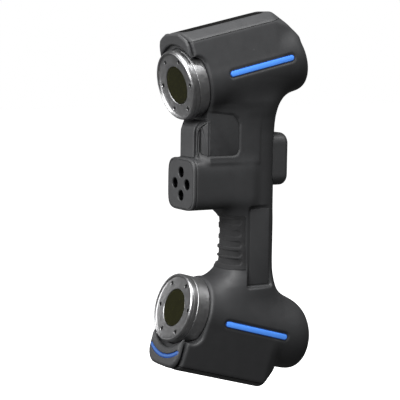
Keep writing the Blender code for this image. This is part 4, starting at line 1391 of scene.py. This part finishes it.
def make_pod():
    region = Region((0, 82, 4), (17, 104, 53), 0.45, 6)
    rear = POD_Y[1]
    face = outline_distance(region.x, region.z, pod_outline(0, POD_CORNER))
    field = shared(face, region.y - rear, 5.0)
    for _, _, z, radius in BUTTONS:
        if radius < DISH_BUTTON_R:
            dish = np.sqrt(region.x ** 2 + (region.z - z) ** 2 + (region.y - rear - 9.0) ** 2) - DISH_R
            field = shared(field, -dish - 0.2, 1.2)
    pod = region.mesh(np.maximum(field, POD_Y[0] - region.y))
    cuts = [prism(pod_outline(-POD_WALL, POD_CORNER - POD_WALL), 70, rear - POD_WALL, "y")]
    for _, _, z, radius in BUTTONS:
        hole = arc((0, z), radius + 0.25, 0, 360 * 63 / 64, 63)
        cuts.append(prism(hole, 90, 110, "y"))
    pod = carved(pod, "DIFFERENCE", cuts)
    add_piece("pod_cover", pod, "cover", ("control_pod",))
    for node, body, z, radius in BUTTONS:
        make_button(node, body, z, radius)


def mark_bar(z, half_x, half_z):
    """Cutter for one stroke of a button's sign."""
    outline = rounded_rectangle((-half_x, z - half_z), (half_x, z + half_z), 0.25, 3)
    return prism(outline, POD_Y[1] + MARK_FLOOR, POD_Y[1] + 1, "y")


def mark_ring(z, inner, outer):
    """Cutter for the ring on the scan button."""
    y = POD_Y[1]
    floor = y + MARK_FLOOR
    ring = turned_to_front(((0, floor), (outer, floor), (outer, y + 1), (0, y + 1)), 0, z)
    core = turned_to_front(((0, y), (inner, y), (inner, y + 2), (0, y + 2)), 0, z)
    return solid_from(carved(mesh_from(ring), "DIFFERENCE", [core]))


def make_button(node, body, z, radius):
    y = POD_Y[1]
    key = turned_to_front(((0, y - 3.9), (radius + 0.7, y - 3.9), (radius + 0.7, y - 2.9),
                           (radius, y - 2.9), (radius, y + 0.1), (radius - 0.15, y + 0.38),
                           (radius - 0.5, y + 0.52), (radius * 0.5, y + 0.56), (0, y + 0.6)), 0, z)
    mark = mark_ring(z, 1.7, 2.3) if node == "scan_button" else mark_bar(z, MARK_HALF, 0.28)
    key = carved(mesh_from(key), "DIFFERENCE", [mark])
    if node == "plus_button":
        key = carved(key, "DIFFERENCE", [mark_bar(z, 0.28, MARK_HALF)])
    add_piece(f"{node}_cap", key, "button", (node,), body=body, sharp=35)


# ---------------------------------------------------------------- screws and socket

SCREW_R = 2.6
SCREW_CORE_R = 1.2
HEXAGON_R = 1.45
SOCKET_BODY = (              # radius and s
    (0, 117.0), (7.0, 117.0), (7.0, 126.3), (6.7, 126.6), (4.9, 126.6), (4.6, 126.3),
    (4.6, 119.0), (0, 119.0),
)
SOCKET_INSERT = ((0, 119.2), (4.4, 119.2), (4.4, 122.6), (0, 122.6))
PIN = ((0, 121), (0.4, 121), (0.4, 124.2), (0.2, 124.6), (0, 124.6))
PINS = 6
PIN_PITCH_R = 2.5


def make_screws():
    for number, (place, a, b, half) in enumerate(SCREWS, 1):
        top, under = 1.3 - half, 3.1 - half
        head = turned(((0, top), (SCREW_R - 0.25, top), (SCREW_R, top + 0.25), (SCREW_R, under),
                       (SCREW_CORE_R, under), (SCREW_CORE_R, 8), (0, 8)), 48)
        hexagon = prism(arc((0, 0), HEXAGON_R, 0, 300, 5), half - 2.5, 60)
        screw = carved(mesh_from(head), "DIFFERENCE", [hexagon])
        add_piece(f"screw_{number}", screw, "screw", (f"housing_screw_{number}",),
                  sharp=30, matrix=screw_matrix(place, a, b))


def make_socket():
    place = HEADS["lower"].matrix() @ Matrix.Translation((0, SOCKET_O, 0))
    add_piece("socket_shell", mesh_from(turned(SOCKET_BODY, 72)), "socket",
              ("cable_socket",), matrix=place)
    key = box_solid((-0.7, 3.2, -130), (0.7, 6, -118))
    insert = carved(mesh_from(turned(SOCKET_INSERT, 48)), "DIFFERENCE", [key])
    add_piece("socket_insert", insert, "lens", matrix=place)
    pins = []
    for k in range(PINS):
        angle = 2 * math.pi * k / PINS
        pins.append(shifted(turned(PIN, 16), PIN_PITCH_R * math.cos(angle),
                            PIN_PITCH_R * math.sin(angle), 0))
    add_piece("socket_pins", joined_mesh(pins), "brass", matrix=place)


dress_nodes()
make_shell()
for each_head in HEADS.values():
    make_light_bars(each_head)
    make_ring(each_head)
make_hood()
make_chin()
make_projector()
make_neck()
make_finger_pad()
make_side_pads()
make_pod()
make_screws()
make_socket()
add_camera()
add_studio()
add_floor()
